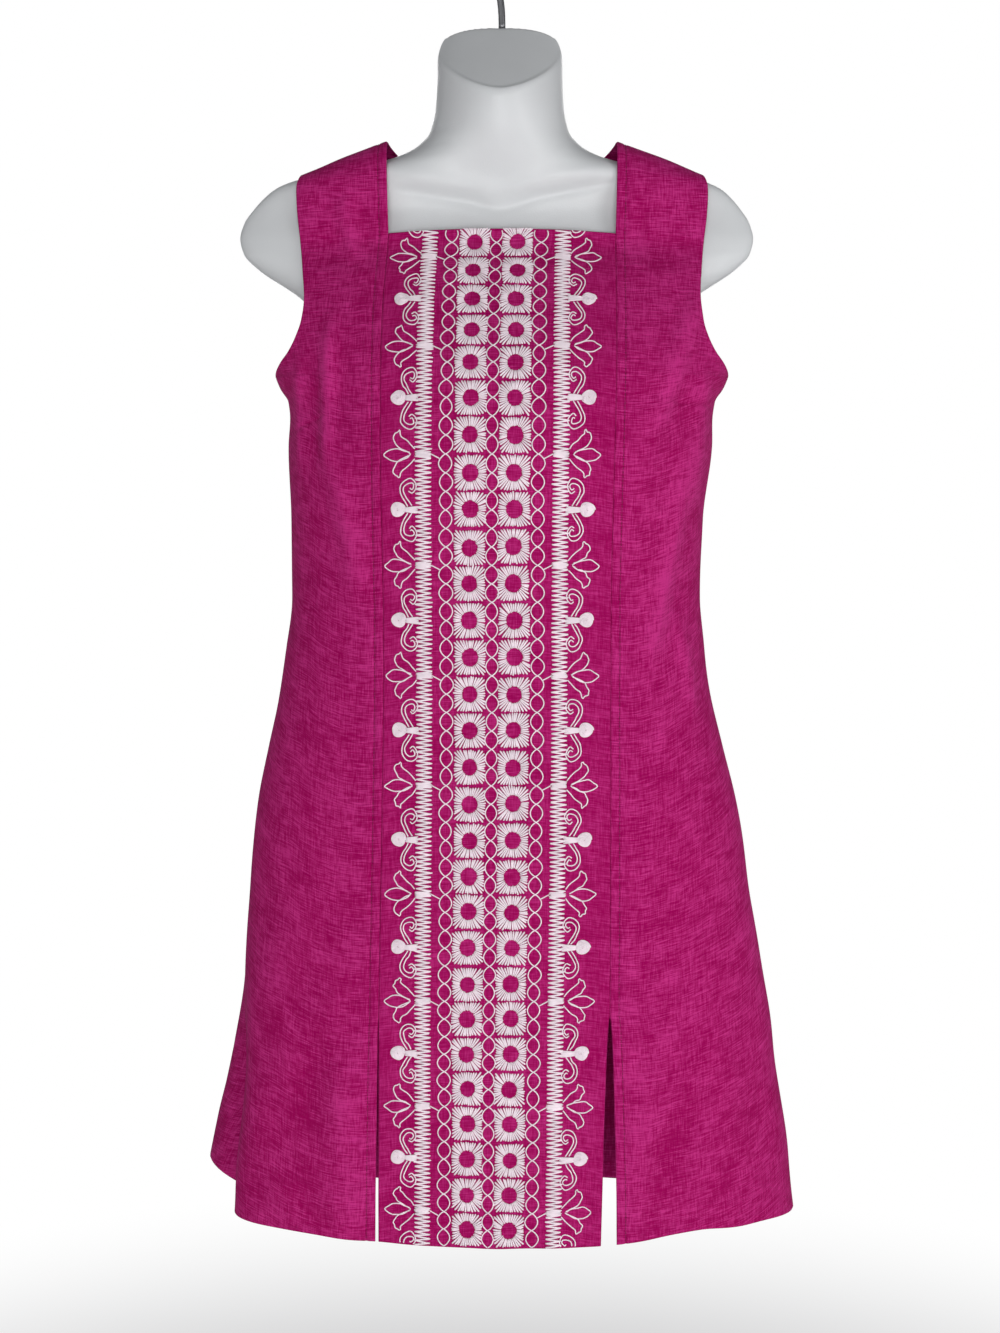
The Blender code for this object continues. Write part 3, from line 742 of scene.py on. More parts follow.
def mesh_object(name, vertices, faces, uvs, uv_name, material):
    """A mesh from points, faces given as arrays of equal width, and a flat coordinate per corner."""
    mesh = bpy.data.meshes.new(name)
    corners = np.concatenate([block.ravel() for block in faces]).astype(np.int32)
    sizes = np.concatenate([np.full(len(block), block.shape[1]) for block in faces])
    starts = np.concatenate(([0], np.cumsum(sizes)[:-1])).astype(np.int32)
    mesh.vertices.add(len(vertices))
    mesh.vertices.foreach_set("co", np.asarray(vertices, np.float32).ravel())
    mesh.loops.add(len(corners))
    mesh.loops.foreach_set("vertex_index", corners)
    mesh.polygons.add(len(sizes))
    mesh.polygons.foreach_set("loop_start", starts)
    mesh.update(calc_edges=True)
    if uvs is not None:
        layer = mesh.uv_layers.new(name=uv_name)
        flat = np.concatenate([block.reshape(-1, 2) for block in uvs])
        layer.uv.foreach_set("vector", flat.astype(np.float32).ravel())
    mesh.validate()
    mesh.shade_smooth()
    mesh.materials.append(material)
    made = bpy.data.objects.new(name, mesh)
    bpy.context.scene.collection.objects.link(made)
    return made


def boundary(rows, columns):
    """The grid's outline, anticlockwise from its lower left corner, as indices."""
    index = np.arange(rows * columns).reshape(rows, columns)
    return np.concatenate((index[0, :-1], index[:-1, -1], index[-1, :0:-1], index[:0:-1, 0]))


def shell(name, outer, inner, flat, folds, material):
    """A closed shell of cloth: outer and inner faces, and a rounded edge all round."""
    rows, columns = outer.shape[:2]
    index = np.arange(rows * columns).reshape(rows, columns)
    a, b = index[:-1, :-1].ravel(), index[:-1, 1:].ravel()
    c, d = index[1:, 1:].ravel(), index[1:, :-1].ravel()
    count = rows * columns
    outline = boundary(rows, columns)
    after = np.roll(outline, -1)
    outer_points, inner_points = outer.reshape(-1, 3), inner.reshape(-1, 3)
    tangent = unit(outer_points[after] - outer_points[np.roll(outline, 1)])
    across = inner_points[outline] - outer_points[outline]
    outward = unit(np.cross(tangent, -across))
    thick = np.linalg.norm(across, axis=1, keepdims=True)
    rim = (outer_points[outline] + inner_points[outline]) / 2.0 + outward * thick * RIM_BULGE
    ring = 2 * count + np.arange(len(outline))
    next_ring = np.roll(ring, -1)
    faces = [
        np.stack((a, b, c, d), axis=1),
        np.stack((a, d, c, b), axis=1) + count,
        np.stack((ring, next_ring, after, outline), axis=1),
        np.stack((outline + count, after + count, next_ring, ring), axis=1),
    ]
    places = np.concatenate((flat.reshape(-1, 2), flat.reshape(-1, 2), flat.reshape(-1, 2)[outline]))
    uvs = [places[block] for block in faces]
    vertices = np.concatenate((outer_points, inner_points, rim))
    made = mesh_object(name, vertices, faces, uvs, "cloth", material)
    # The crease heights, which the cloth material reads to paint the ridges paler as painted sheen and the
    # troughs deeper as painted shade
    heights = np.concatenate((folds.ravel(), folds.ravel(), folds.ravel()[outline]))
    made.data.attributes.new("fold", "FLOAT", "POINT").data.foreach_set("value", heights.astype(np.float32))
    return made


# Threads

def tube_blocks(path, facing, radius, height, sides):
    """One thread: rings of points round its path; its callers close it at both ends."""
    tangent = unit(np.gradient(path, axis=0))
    sideways = unit(np.cross(tangent, facing))
    upward = np.cross(sideways, tangent)
    angles = np.arange(sides) * 2.0 * math.pi / sides + math.pi / sides
    wide = (np.cos(angles)[None, :, None] * sideways[:, None, :]) * radius[:, None, None]
    high = (np.sin(angles)[None, :, None] * upward[:, None, :]) * height[:, None, None]
    return (path[:, None, :] + wide + high).reshape(-1, 3)


class Threads:
    """Many threads gathered flat and then laid on a surface together as one mesh."""

    def __init__(self):
        self.paths = []

    def add(self, spots, radius, flatness=0.75, lift=0.0):
        """A thread through (across, down) spots; lift is how far its middle stands off the cloth."""
        spots = np.asarray(spots, float)
        radius = np.broadcast_to(np.asarray(radius, float), len(spots))
        lift = np.broadcast_to(np.asarray(lift, float), len(spots))
        self.paths.append((spots, radius, flatness, lift))

    def add_clipped(self, spots, radius, lift):
        """The same, cut off where it would run past the panel's ends."""
        spots = np.asarray(spots, float)
        inside = (spots[:, 1] > EDGE_CLEAR) & (spots[:, 1] < PANEL_LONG - EDGE_CLEAR)
        edges = np.flatnonzero(np.diff(np.concatenate(([0], inside.astype(int), [0]))))
        for start, end in zip(edges[::2], edges[1::2]):
            if end - start > 2:
                self.add(spots[start:end], radius, lift=lift)

    def build(self, name, surface, material, sides=THREAD_SIDES):
        spots = np.concatenate([path[0] for path in self.paths])
        points, facing = surface(spots)
        vertices, quads, caps, quad_uvs, cap_uvs = [], [], [], [], []
        used = read = 0
        ring = np.arange(sides)
        for flat, radius, flatness, lift in self.paths:
            count = len(flat)
            height = radius * flatness
            outward = facing[read : read + count]
            path = points[read : read + count] + outward * (height * 0.8 + lift)[:, None]
            vertices.append(tube_blocks(path, outward, radius, height, sides))
            low = used + ring[None, :] + sides * np.arange(count - 1)[:, None]
            turned = used + np.roll(ring, -1)[None, :] + sides * np.arange(count - 1)[:, None]
            quads.append(np.stack((low, turned, turned + sides, low + sides), axis=-1).reshape(-1, 4))
            caps.append(np.stack((used + ring[::-1], used + sides * (count - 1) + ring)))
            length = length_along(path)
            here, there = np.broadcast_arrays(length[:-1, None], ring[None, :] / sides)
            then = np.broadcast_to(length[1:, None], here.shape)
            past = there + 1.0 / sides
            around = np.stack((here, there, here, past, then, past, then, there), axis=-1)
            quad_uvs.append(around.reshape(-1, 2))
            cap_uvs.append(np.zeros((2 * sides, 2)))
            used += count * sides
            read += count
        faces = [np.concatenate(quads), np.concatenate(caps)]
        uvs = [np.concatenate(quad_uvs), np.concatenate(cap_uvs)]
        return mesh_object(name, np.concatenate(vertices), faces, uvs, "thread", material)


def panel_middle(level):
    return (seam_left(level) + seam_right(level)) / 2.0


def panel_table():
    """Levels down the middle of the front panel, and how far down the cloth they are."""
    level = np.linspace(FRONT_NECKLINE + NECKLINE_BOW, HEM, 900)
    spots = DRESS.plain_point(level, DRESS.turn_at(level, panel_middle(level)))
    return level, length_along(spots)


PANEL_LEVELS, PANEL_DOWN = panel_table()
PANEL_LONG = PANEL_DOWN[-1]


def on_panel(spots):
    """The points of the front panel's surface at these (across, down) spots."""
    level = np.interp(spots[:, 1], PANEL_DOWN, PANEL_LEVELS)
    x = panel_middle(level) + BAND_MIDDLE + spots[:, 0]
    turn = DRESS.turn_at(level, x)
    return cloth_surface(lifted(level, turn), turn, False)


def curved(spots, step):
    """A smooth curve through the spots, as points about a step apart."""
    spots = np.asarray(spots, float)
    padded = np.concatenate((2.0 * spots[:1] - spots[1:2], spots, 2.0 * spots[-1:] - spots[-2:-1]))
    made = []
    for i in range(len(spots) - 1):
        p0, p1, p2, p3 = padded[i : i + 4]
        count = max(1, round(float(np.linalg.norm(p2 - p1)) / step))
        share = (np.arange(count) / count)[:, None]
        made.append(0.5 * (
            2.0 * p1 + (p2 - p0) * share + (2.0 * p0 - 5.0 * p1 + 4.0 * p2 - p3) * share ** 2
            + (3.0 * p1 - p0 - 3.0 * p2 + p3) * share ** 3
        ))
    return np.concatenate((*made, spots[-1:]))


def row_down(row):
    return FIRST_ROW + PITCH * row


def stitch(sort):
    """Shares along a stitch of this sort, and its radius and rise there."""
    shares, radius, lift = sort
    return np.array(shares)[:, None], np.array(radius) * MILLIMETRE, np.array(lift) * MILLIMETRE


def eyelet_squares(threads):
    """Two columns of squares, each a ring of satin stitches round an open eyelet."""
    for side in (-1.0, 1.0):
        for row in range(ROWS):
            middle = np.array((side * COLUMN, row_down(row)))
            middle += random.normal(0.0, 0.00035, 2)
            hole = np.array(HOLE) * (1.0 + random.normal(0.0, 0.03))
            for ray in range(RAYS):
                angle = 2.0 * math.pi * (ray + 0.5 + random.normal(0.0, 0.10)) / RAYS
                toward = np.array((math.cos(angle), math.sin(angle)))
                reach = np.array(SQUARE_HALF) / max(abs(toward[0]), abs(toward[1])) ** 0.92
                reach *= 1.0 + random.normal(0.0, 0.025)
                start = hole * (1.0 + random.normal(0.0, 0.03))
                share, radius, lift = stitch(RAY_STITCH)
                spots = middle + toward * mix(start, reach, share)
                threads.add(spots, radius, 0.8, lift + abs(random.normal(0.0, 0.06)) * MILLIMETRE)


def chain(threads, middle, half):
    """A chain of rings: two threads that wave across each other twice in each square."""
    links = 2 * ROWS + 2
    for side in (-1.0, 1.0):
        wave = []
        for link in range(-1, links + 1):
            wide = half * (1.0 + random.normal(0.0, 0.06))
            place = row_down(0) + PITCH / 2.0 * (link - 1)
            for step in range(CHAIN_STEPS):
                turn = math.pi * step / CHAIN_STEPS
                bulge = math.sin(turn) ** CHAIN_ROUND * wide * side * (1.0 if link % 2 else -1.0)
                wave.append((middle + bulge, place + PITCH / 2.0 * step / CHAIN_STEPS))
        threads.add_clipped(wave, FINE_THREAD, 0.0002 + 0.0002 * side)


def zigzag_bar(threads, side):
    """A dense zigzag of satin stitches down one side of the band."""
    down = EDGE_CLEAR + THREAD
    going = 1.0
    while down < PANEL_LONG - EDGE_CLEAR - THREAD:
        half = BAR_HALF * (1.0 + random.normal(0.0, 0.05))
        start = np.array((side * BAR - going * half, down))
        step = BAR_PITCH / 2.0 * (1.0 + random.normal(0.0, 0.1))
        end = np.array((side * BAR + going * half, down + step))
        share, radius, lift = stitch(BAR_STITCH)
        threads.add(mix(start, end, share), radius, 0.85, lift)
        down += BAR_PITCH / 2.0
        going = -going


def beside_bar(spots, side, row, flip):
    """Charted spots, in millimetres out from the bar and down from a row's middle, as places."""
    spots = np.asarray(spots, float) * MILLIMETRE
    out = BAR + BAR_HALF + spots[:, 0]
    return np.stack((side * out, row_down(row) + flip * spots[:, 1]), axis=1)


def satin_block(threads, start, end, wide, count):
    """A short solid block: threads side by side, as wide at its start and at its end as wide says."""
    run = unit(np.asarray(end) - np.asarray(start))
    aside = np.array((-run[1], run[0]))
    share, radius, lift = stitch(BLOCK_STITCH)
    for i in range(count):
        offset = aside * ((i + 0.5) / count - 0.5)
        first = start + offset * wide[0] + run * random.normal(0.0, 0.0004)
        last = end + offset * wide[1] + run * random.normal(0.0, 0.0004)
        proud = abs(random.normal(0.0, 0.08)) * MILLIMETRE
        threads.add(mix(first, last, share), radius, 0.85, lift + proud)


def charted_line(threads, charted, side, row, flip, wobble):
    """A thread along charted spots beside the bar, each a little off its place."""
    spots = beside_bar(charted, side, row, flip)
    spots += random.normal(0.0, wobble, spots.shape)
    threads.add_clipped(curved(spots, CURVE_STEP), FINE_THREAD, LINE_LIFT)


def knob(threads, side, row):
    """A round filled knob on a short neck, with a double scroll above and below it."""
    middle = np.array((side * KNOB_OUT[side], row_down(row)))
    if 0 <= row < ROWS:
        turns = np.sqrt(np.linspace(0.0, 1.0, KNOB_STEPS))
        swirl = turns * 2.0 * math.pi * KNOB_TURNS
        reach = KNOB_RADIUS * turns * (1.0 + 0.05 * np.sin(swirl * 3.0 + row) * turns)
        spiral = middle + np.stack((np.cos(swirl), np.sin(swirl)), axis=1) * reach[:, None]
        lumps = KNOB_LUMP * np.sin(swirl * 5.3 + 2.0 * row)
        threads.add(spiral, THREAD, 0.9, KNOB_RISE * (1.0 - turns ** 2) + lumps)
        neck = middle - np.array((side * KNOB_RADIUS * 0.9, 0.0))
        foot = np.array((side * (BAR + BAR_HALF * 0.7), middle[1]))
        satin_block(threads, neck, foot, NECK_WIDE, NECK_THREADS)
    for flip in (1.0, -1.0):
        for charted in (SCROLL_OUTER, SCROLL_INNER):
            charted_line(threads, charted, side, row, flip, SCROLL_WOBBLE)


def tulip(threads, side, row):
    """Three outlined petals that open out from the bar, and the stitch that ties them in."""
    petals = (SIDE_PETAL, MIDDLE_PETAL, SIDE_PETAL)
    for flip, charted in zip((-1.0, 1.0, 1.0), petals):
        charted_line(threads, charted, side, row, flip, PETAL_WOBBLE)
    down = row_down(row)
    outer, inner = (np.array((side * (BAR + reach), down)) for reach in (BAR_HALF, -BAR_HALF))
    satin_block(threads, outer, inner, TIE_WIDE, TIE_THREADS)
    tie = ((side * (BAR - BAR_HALF), down), (side * (CHAIN + CHAIN_HALF * 0.8), down + TIE_DROP))
    threads.add(curved(tie, 0.0012), FINE_THREAD)


def embroidery(material):
    """The whole band, as a few meshes of threads."""
    squares, lines, bars = Threads(), Threads(), Threads()
    eyelet_squares(squares)
    for middle, half in ((-CHAIN, CHAIN_HALF), (CHAIN, CHAIN_HALF), (0.0, MIDDLE_CHAIN_HALF)):
        chain(lines, middle, half)
    for side in (-1.0, 1.0):
        zigzag_bar(bars, side)
        for row in range(-1, ROWS + 1, 3):
            knob(lines, side, row)
        for row in range(0, ROWS, 3):
            tulip(lines, side, row + 0.5)
    return [
        squares.build("eyelet_square_stitches", on_panel, material),
        bars.build("zigzag_bar_stitches", on_panel, material),
        lines.build("chain_scroll_and_petal_stitches", on_panel, material),
    ]


def topstitching(name, line, facing, material):
    """Short stitches along a line of cloth points."""
    length = length_along(line)
    starts = np.arange(STITCH_START, length[-1] - STITCH_LONG, STITCH_LONG + STITCH_GAP)
    threads = Threads()
    share, thick, lift = (np.array(row) for row in SEAM_STITCH)
    for start in starts:
        spots = np.stack((start + STITCH_LONG * share, np.zeros_like(share)), axis=1)
        threads.add(spots, STITCH_RADIUS * thick, 0.8, lift * MILLIMETRE)

    def on_line(spots):
        at = [np.interp(spots[:, 0], length, line[:, i]) for i in range(3)]
        toward = [np.interp(spots[:, 0], length, facing[:, i]) for i in range(3)]
        return np.stack(at, axis=1), unit(np.stack(toward, axis=1))

    return threads.build(name, on_line, material, sides=4)


# Torso form and hook

def cap_level(spots):
    """The neck's cut face: a slope to the front and a land behind it, rounded off to the sides."""
    share = np.abs(spots[..., 0] - FORM.shift(FORM_NECK_TOP)) / FORM.half(FORM_NECK_TOP)
    share = np.minimum(CAP_WIDEST, share)
    fall = CAP_FALL * (1.0 - (1.0 - share ** CAP_SQUARE) ** (1.0 / CAP_SQUARE))
    return FORM_NECK_TOP - fall - CAP_SLOPE * np.maximum(0.0, CAP_RIDGE - (spots[..., 1] - SHOULDER_Y))


def inset(ring, amount):
    """The ring drawn in level towards its own middle."""
    inward = ring.mean(axis=0) - ring
    inward[:, 2] = 0.0
    return ring + unit(inward) * amount


def form_ring(level, turns):
    """A ring of the form, with the collarbones drawn into its front."""
    ring = FORM.point(level, turns)
    for height, width, *path in COLLARBONES:
        reach = height * felt(ring[:, 0], ring[:, 2], path, width)
        ring[:, 1] -= np.where(ring[:, 1] < SHOULDER_Y, reach, 0.0)
    return ring


def form_rings():
    """All rings of the form: rounded foot, body, neck, and the rounded edge of the cut face."""
    turns = np.arange(FORM_SIDES) * 360.0 / FORM_SIDES
    rings = []
    for step in np.linspace(0.0, 90.0, FOOT_RINGS):
        round_share = 1.0 - math.sin(math.radians(step))
        rise = FORM_FOOT_ROUND * (1.0 - math.cos(math.radians(step)))
        rings.append(inset(FORM.point(FORM_LOWEST + rise, turns), FORM_FOOT_ROUND * round_share))
    for level in np.arange(*BODY_RINGS):
        rings.append(FORM.point(level, turns))
    for level in np.arange(*CHEST_RINGS):
        rings.append(form_ring(level, turns))
    top = FORM.point(FORM_NECK_TOP, turns)
    edge = cap_level(top) - CAP_EDGE
    for step in np.linspace(0.0, 1.0, NECK_RINGS):
        rings.append(FORM.point(mix(NECK_RINGS_FROM, edge, step), turns))
    side = rings[-1]
    for step in np.linspace(0.0, 90.0, CAP_EDGE_RINGS)[1:]:
        angle = math.radians(step)
        ring = inset(side, CAP_EDGE * (1.0 - math.cos(angle)))
        face = inset(side, CAP_EDGE)
        face[:, 2] = cap_level(face)
        ring[:, 2] = mix(side[:, 2], face[:, 2], math.sin(angle))
        rings.append(ring)
    for share in CAP_RINGS:
        ring = mix(face.mean(axis=0), face, share)
        ring[:, 2] = cap_level(ring)
        rings.append(ring)
    return rings


def torso_form(material):
    rings = form_rings()
    count = len(rings)
    index = np.arange(count * FORM_SIDES).reshape(count, FORM_SIDES)
    after = np.roll(index, -1, axis=1)
    walls = np.stack((index[:-1], after[:-1], after[1:], index[1:]), axis=-1).reshape(-1, 4)
    half = FORM_SIDES // 2
    foot = index[0]
    strips = [(foot[-i - 1], foot[i + 1], foot[i], foot[-i]) for i in range(1, half - 1)]
    ends = [(foot[-1], foot[1], foot[0]), (foot[half], foot[half - 1], foot[half + 1])]
    middle = rings[-1].mean(axis=0)
    middle[2] = cap_level(middle)
    crown = np.stack((index[-1], after[-1], np.full(FORM_SIDES, index.size)), axis=1)
    faces = [walls, np.array(strips), np.concatenate((ends, crown))]
    vertices = np.concatenate((*rings, middle[None]))
    made = mesh_object("moulded_torso_form", vertices, faces, None, "", material)
    made.data.set_sharp_from_angle(angle=math.radians(SHARP_FROM))
    return made


def hook_route():
    """The wire's centre line: up the shank, out to one side and round over the rail."""
    centre = np.array((0.0, 0.0, WIRE_RADIUS - HOOK_RADIUS))
    foot = np.array((0.0, 0.0, FORM_NECK_TOP + SHANK_GAP))
    angles = np.radians(np.linspace(HOOK_START, HOOK_END, HOOK_POINTS))
    loop = centre + HOOK_RADIUS * np.stack((np.sin(angles), 0.0 * angles, np.cos(angles)), axis=1)
    fall = -loop[0, 0] * math.tan(math.radians(HOOK_START))
    corner = np.array((0.0, 0.0, loop[0, 2] - fall))
    knee = foot + np.array((0.0, 0.0, SHANK_STRAIGHT))
    share = (np.arange(BEND_POINTS) / BEND_POINTS)[:, None]
    bend = mix(mix(knee, corner, share), mix(corner, loop[0], share), share)
    return np.concatenate((foot[None], bend, loop))


def wire_hook(material):
    """The wire as a tube with a domed tip."""
    route = hook_route()
    run = unit(route[-1:] - route[-2:-1])
    dome = np.array(TIP_DOME)[:, None]
    path = np.concatenate((route, route[-1:] + run * WIRE_RADIUS * dome))
    radius = np.full(len(path), WIRE_RADIUS)
    radius[-len(dome) :] = WIRE_RADIUS * np.sqrt(1.0 - dome[:, 0] ** 2)
    facing = np.tile(np.array((0.0, -1.0, 0.0)), (len(path), 1))
    points = tube_blocks(path, facing, radius, radius, HOOK_SIDES)
    index = np.arange(len(points)).reshape(len(path), HOOK_SIDES)
    after = np.roll(index, -1, axis=1)
    walls = np.stack((index[:-1], after[:-1], after[1:], index[1:]), axis=-1).reshape(-1, 4)
    ends = np.stack((index[0, ::-1], index[-1]))
    return mesh_object("wire_hanging_hook", points, [walls, ends], None, "", material)


# Materials

def new_material(name, roughness):
    material = bpy.data.materials.new(name)
    material.use_nodes = True
    tree = material.node_tree
    shader = tree.nodes["Principled BSDF"]
    shader.inputs["Roughness"].default_value = roughness
    return material, tree, shader


def flat_place(tree, name):
    node = tree.nodes.new("ShaderNodeUVMap")
    node.uv_map = name
    return node.outputs["UV"]


def object_place(tree):
    return tree.nodes.new("ShaderNodeTexCoord").outputs["Object"]


def noise(tree, place, scale, detail=2.0, low=0.0, high=1.0, offset=0.0):
    """Noise stretched by scale, with its middle range spread over low to high."""
    stretch = tree.nodes.new("ShaderNodeMapping")
    stretch.inputs["Scale"].default_value = scale
    stretch.inputs["Location"].default_value = (offset, offset, offset)
    texture = tree.nodes.new("ShaderNodeTexNoise")
    texture.inputs["Scale"].default_value = 1.0
    texture.inputs["Detail"].default_value = detail
    spread = tree.nodes.new("ShaderNodeMapRange")
    spread.inputs["From Min"].default_value = 0.32
    spread.inputs["From Max"].default_value = 0.68
    spread.inputs["To Min"].default_value = low
    spread.inputs["To Max"].default_value = high
    tree.links.new(place, stretch.inputs["Vector"])
    tree.links.new(stretch.outputs["Vector"], texture.inputs["Vector"])
    tree.links.new(texture.outputs["Fac"], spread.inputs["Value"])
    return spread.outputs["Result"]


def peaks(tree, value, start, end, height):
    """Only the highest part of a noise, from start to end, as 0 to height."""
    node = tree.nodes.new("ShaderNodeMapRange")
    node.interpolation_type = "SMOOTHSTEP"
    node.inputs["From Min"].default_value = start
    node.inputs["From Max"].default_value = end
    node.inputs["To Max"].default_value = height
    tree.links.new(value, node.inputs["Value"])
    return node.outputs["Result"]


def maths(tree, operation, first, second):
    node = tree.nodes.new("ShaderNodeMath")
    node.operation = operation
    for socket, value in zip(node.inputs, (first, second)):
        if isinstance(value, (int, float)):
            socket.default_value = value
        else:
            tree.links.new(value, socket)
    return node.outputs["Value"]


def scaled(tree, value, by):
    return maths(tree, "MULTIPLY", value, by)


def shade_of(colour, share):
    """The same colour, darker or lighter by a share."""
    return tuple(min(1.0, share * part) for part in colour[:3]) + (1.0,)


def added(tree, *values):
    total = values[0]
    for value in values[1:]:
        total = maths(tree, "ADD", total, value)
    return total


def blended(tree, share, first, second):
    """From the first colour to the second as share goes from 0 to 1."""
    node = tree.nodes.new("ShaderNodeMix")
    node.data_type = "RGBA"
    node.clamp_factor = True
    tree.links.new(share, node.inputs["Factor"])
    node.inputs["A"].default_value = first
    node.inputs["B"].default_value = second
    return node.outputs["Result"]


def bumped(tree, shader, height, strength, distance):
    node = tree.nodes.new("ShaderNodeBump")
    node.inputs["Strength"].default_value = strength
    node.inputs["Distance"].default_value = distance
    tree.links.new(height, node.inputs["Height"])
    tree.links.new(node.outputs["Normal"], shader.inputs["Normal"])


def slub_linen(name, paleness):
    """Plain weave from uneven threads: fine streaks both ways and short slubs, with crease ridges painted
    paler as painted sheen and crease troughs painted deeper as painted shade.
    """
    material, tree, shader = new_material(name, 0.88)
    place = flat_place(tree, "cloth")
    fold = tree.nodes.new("ShaderNodeAttribute")
    fold.attribute_name = "fold"
    # Painted sheen and shade: the crease height paints the ridges paler and the troughs deeper
    share = added(tree, WEAVE_BASE, scaled(tree, fold.outputs["Fac"], FOLD_SHEEN_AND_SHADE))
    stretch, detail, offset, pales, raises = SLUBS
    slubs = peaks(tree, noise(tree, place, stretch, detail, offset=offset), *SLUB_PEAK, 1.0)
    share = added(tree, share, scaled(tree, slubs, pales))
    height = scaled(tree, slubs, raises)
    for stretch, detail, offset, pales, raises in WEAVE:
        threads = noise(tree, place, stretch, detail, -0.5, 0.5, offset)
        share = added(tree, share, scaled(tree, threads, pales))
        if raises:
            height = added(tree, height, scaled(tree, threads, raises))
    # For the front panel a paleness below 1 paints the cloth deeper as painted shade
    share = scaled(tree, share, paleness)
    tree.links.new(blended(tree, share, CLOTH_DEEP, CLOTH_LIGHT), shader.inputs["Base Color"])
    shader.inputs["Specular IOR Level"].default_value = 0.06
    shader.inputs["Sheen Weight"].default_value = 0.07
    shader.inputs["Sheen Roughness"].default_value = 0.45
    shader.inputs["Sheen Tint"].default_value = (0.95, 0.30, 0.60, 1.0)
    bumped(tree, shader, height, 0.50, 0.00035)
    return material


def embroidery_thread():
    """Soft plied thread: a twist along it and slight unevenness of colour."""
    material, tree, shader = new_material("embroidery_thread", 0.55)
    place = flat_place(tree, "thread")
    worn = noise(tree, object_place(tree), (90.0, 90.0, 90.0), 3.0)
    shade = shade_of(THREAD_COLOUR, 0.86)
    tree.links.new(blended(tree, worn, shade, THREAD_COLOUR), shader.inputs["Base Color"])
    split = tree.nodes.new("ShaderNodeSeparateXYZ")
    tree.links.new(place, split.inputs["Vector"])
    twist = added(tree, scaled(tree, split.outputs["X"], 900.0), split.outputs["Y"])
    plies = maths(tree, "SINE", scaled(tree, twist, 2.0 * math.pi), 0.0)
    bumped(tree, shader, plies, 0.5, 0.00012)
    shader.inputs["Specular IOR Level"].default_value = 0.35
    shader.inputs["Sheen Weight"].default_value = 0.15
    shader.inputs["Sheen Roughness"].default_value = 0.4
    return material


def seam_thread():
    """Topstitching thread in the cloth's own colour."""
    material, tree, shader = new_material("seam_thread", 0.6)
    worn = noise(tree, object_place(tree), (300.0, 300.0, 300.0), 2.0)
    light = shade_of(STITCH_COLOUR, 1.5)
    tree.links.new(blended(tree, worn, STITCH_COLOUR, light), shader.inputs["Base Color"])
    shader.inputs["Specular IOR Level"].default_value = 0.3
    return material


def form_plastic():
    """Satin moulded plastic with a faint grain and a little handling wear."""
    material, tree, shader = new_material("form_plastic", 0.42)
    place = object_place(tree)
    cloud = noise(tree, place, (9.0, 9.0, 9.0), 3.0)
    shade = shade_of(FORM_COLOUR, 0.955)
    tree.links.new(blended(tree, cloud, shade, FORM_COLOUR), shader.inputs["Base Color"])
    handled = noise(tree, place, (35.0, 35.0, 60.0), 4.0, 0.36, 0.52, 2.0)
    tree.links.new(handled, shader.inputs["Roughness"])
    grain = noise(tree, place, (900.0, 900.0, 900.0), 2.0)
    soft = noise(tree, place, (24.0, 24.0, 24.0), 1.0, 0.0, 3.0, 4.0)
    bumped(tree, shader, added(tree, grain, soft), 0.12, 0.0004)
    shader.inputs["Specular IOR Level"].default_value = 0.4
    return material


def hook_wire():
    """Plated wire, drawn lengthways and slightly dulled."""
    material, tree, shader = new_material("hook_wire", 0.3)
    place = object_place(tree)
    dull = noise(tree, place, (160.0, 160.0, 60.0), 3.0)
    shade = shade_of(WIRE_COLOUR, 0.75)
    tree.links.new(blended(tree, dull, shade, WIRE_COLOUR), shader.inputs["Base Color"])
    scuffed = noise(tree, place, (400.0, 400.0, 120.0), 3.0, 0.26, 0.44, 6.0)
    tree.links.new(scuffed, shader.inputs["Roughness"])
    bumped(tree, shader, noise(tree, place, (1500.0, 1500.0, 90.0), 2.0), 0.1, 0.0001)
    shader.inputs["Metallic"].default_value = 0.9
    return material


# Floor, lights and camera

def floor():
    """A plain pale floor that fades into the plain background far away."""
    material, tree, shader = new_material("pale_floor", 0.8)
    shader.inputs["Base Color"].default_value = PALE
    glow = tree.nodes.new("ShaderNodeEmission")
    glow.inputs["Color"].default_value = WHITE
    far = tree.nodes.new("ShaderNodeVectorMath")
    far.operation = "LENGTH"
    tree.links.new(object_place(tree), far.inputs[0])
    fade = tree.nodes.new("ShaderNodeMapRange")
    fade.interpolation_type = "SMOOTHSTEP"
    fade.inputs["From Min"].default_value = FLOOR_FADE[0]
    fade.inputs["From Max"].default_value = FLOOR_FADE[1]
    tree.links.new(far.outputs["Value"], fade.inputs["Value"])
    rays = tree.nodes.new("ShaderNodeLightPath")
    seen = scaled(tree, fade.outputs["Result"], rays.outputs["Is Camera Ray"])
    both = tree.nodes.new("ShaderNodeMixShader")
    tree.links.new(seen, both.inputs["Fac"])
    tree.links.new(shader.outputs["BSDF"], both.inputs[1])
    tree.links.new(glow.outputs["Emission"], both.inputs[2])
    tree.links.new(both.outputs["Shader"], tree.nodes["Material Output"].inputs["Surface"])
    mesh = bpy.data.meshes.new("floor")
    corners = [(x * FLOOR_REACH, y * FLOOR_REACH, 0.0) for x, y in ((-1, -1), (1, -1), (1, 1), (-1, 1))]
    mesh.from_pydata(corners, [], [(0, 1, 2, 3)])
    mesh.materials.append(material)
    made = bpy.data.objects.new("floor", mesh)
    made.location = (0.0, 0.0, FLOOR_LEVEL)
    bpy.context.scene.collection.objects.link(made)


def area_light(name, place, size, watts):
    light = bpy.data.lights.new(name, "AREA")
    light.shape = "RECTANGLE"
    light.size, light.size_y = size
    light.energy = watts
    made = bpy.data.objects.new(name, light)
    made.location = place
    made.rotation_euler = (Vector(LIGHTS_AIM) - Vector(place)).to_track_quat("-Z", "Y").to_euler()
    bpy.context.scene.collection.objects.link(made)


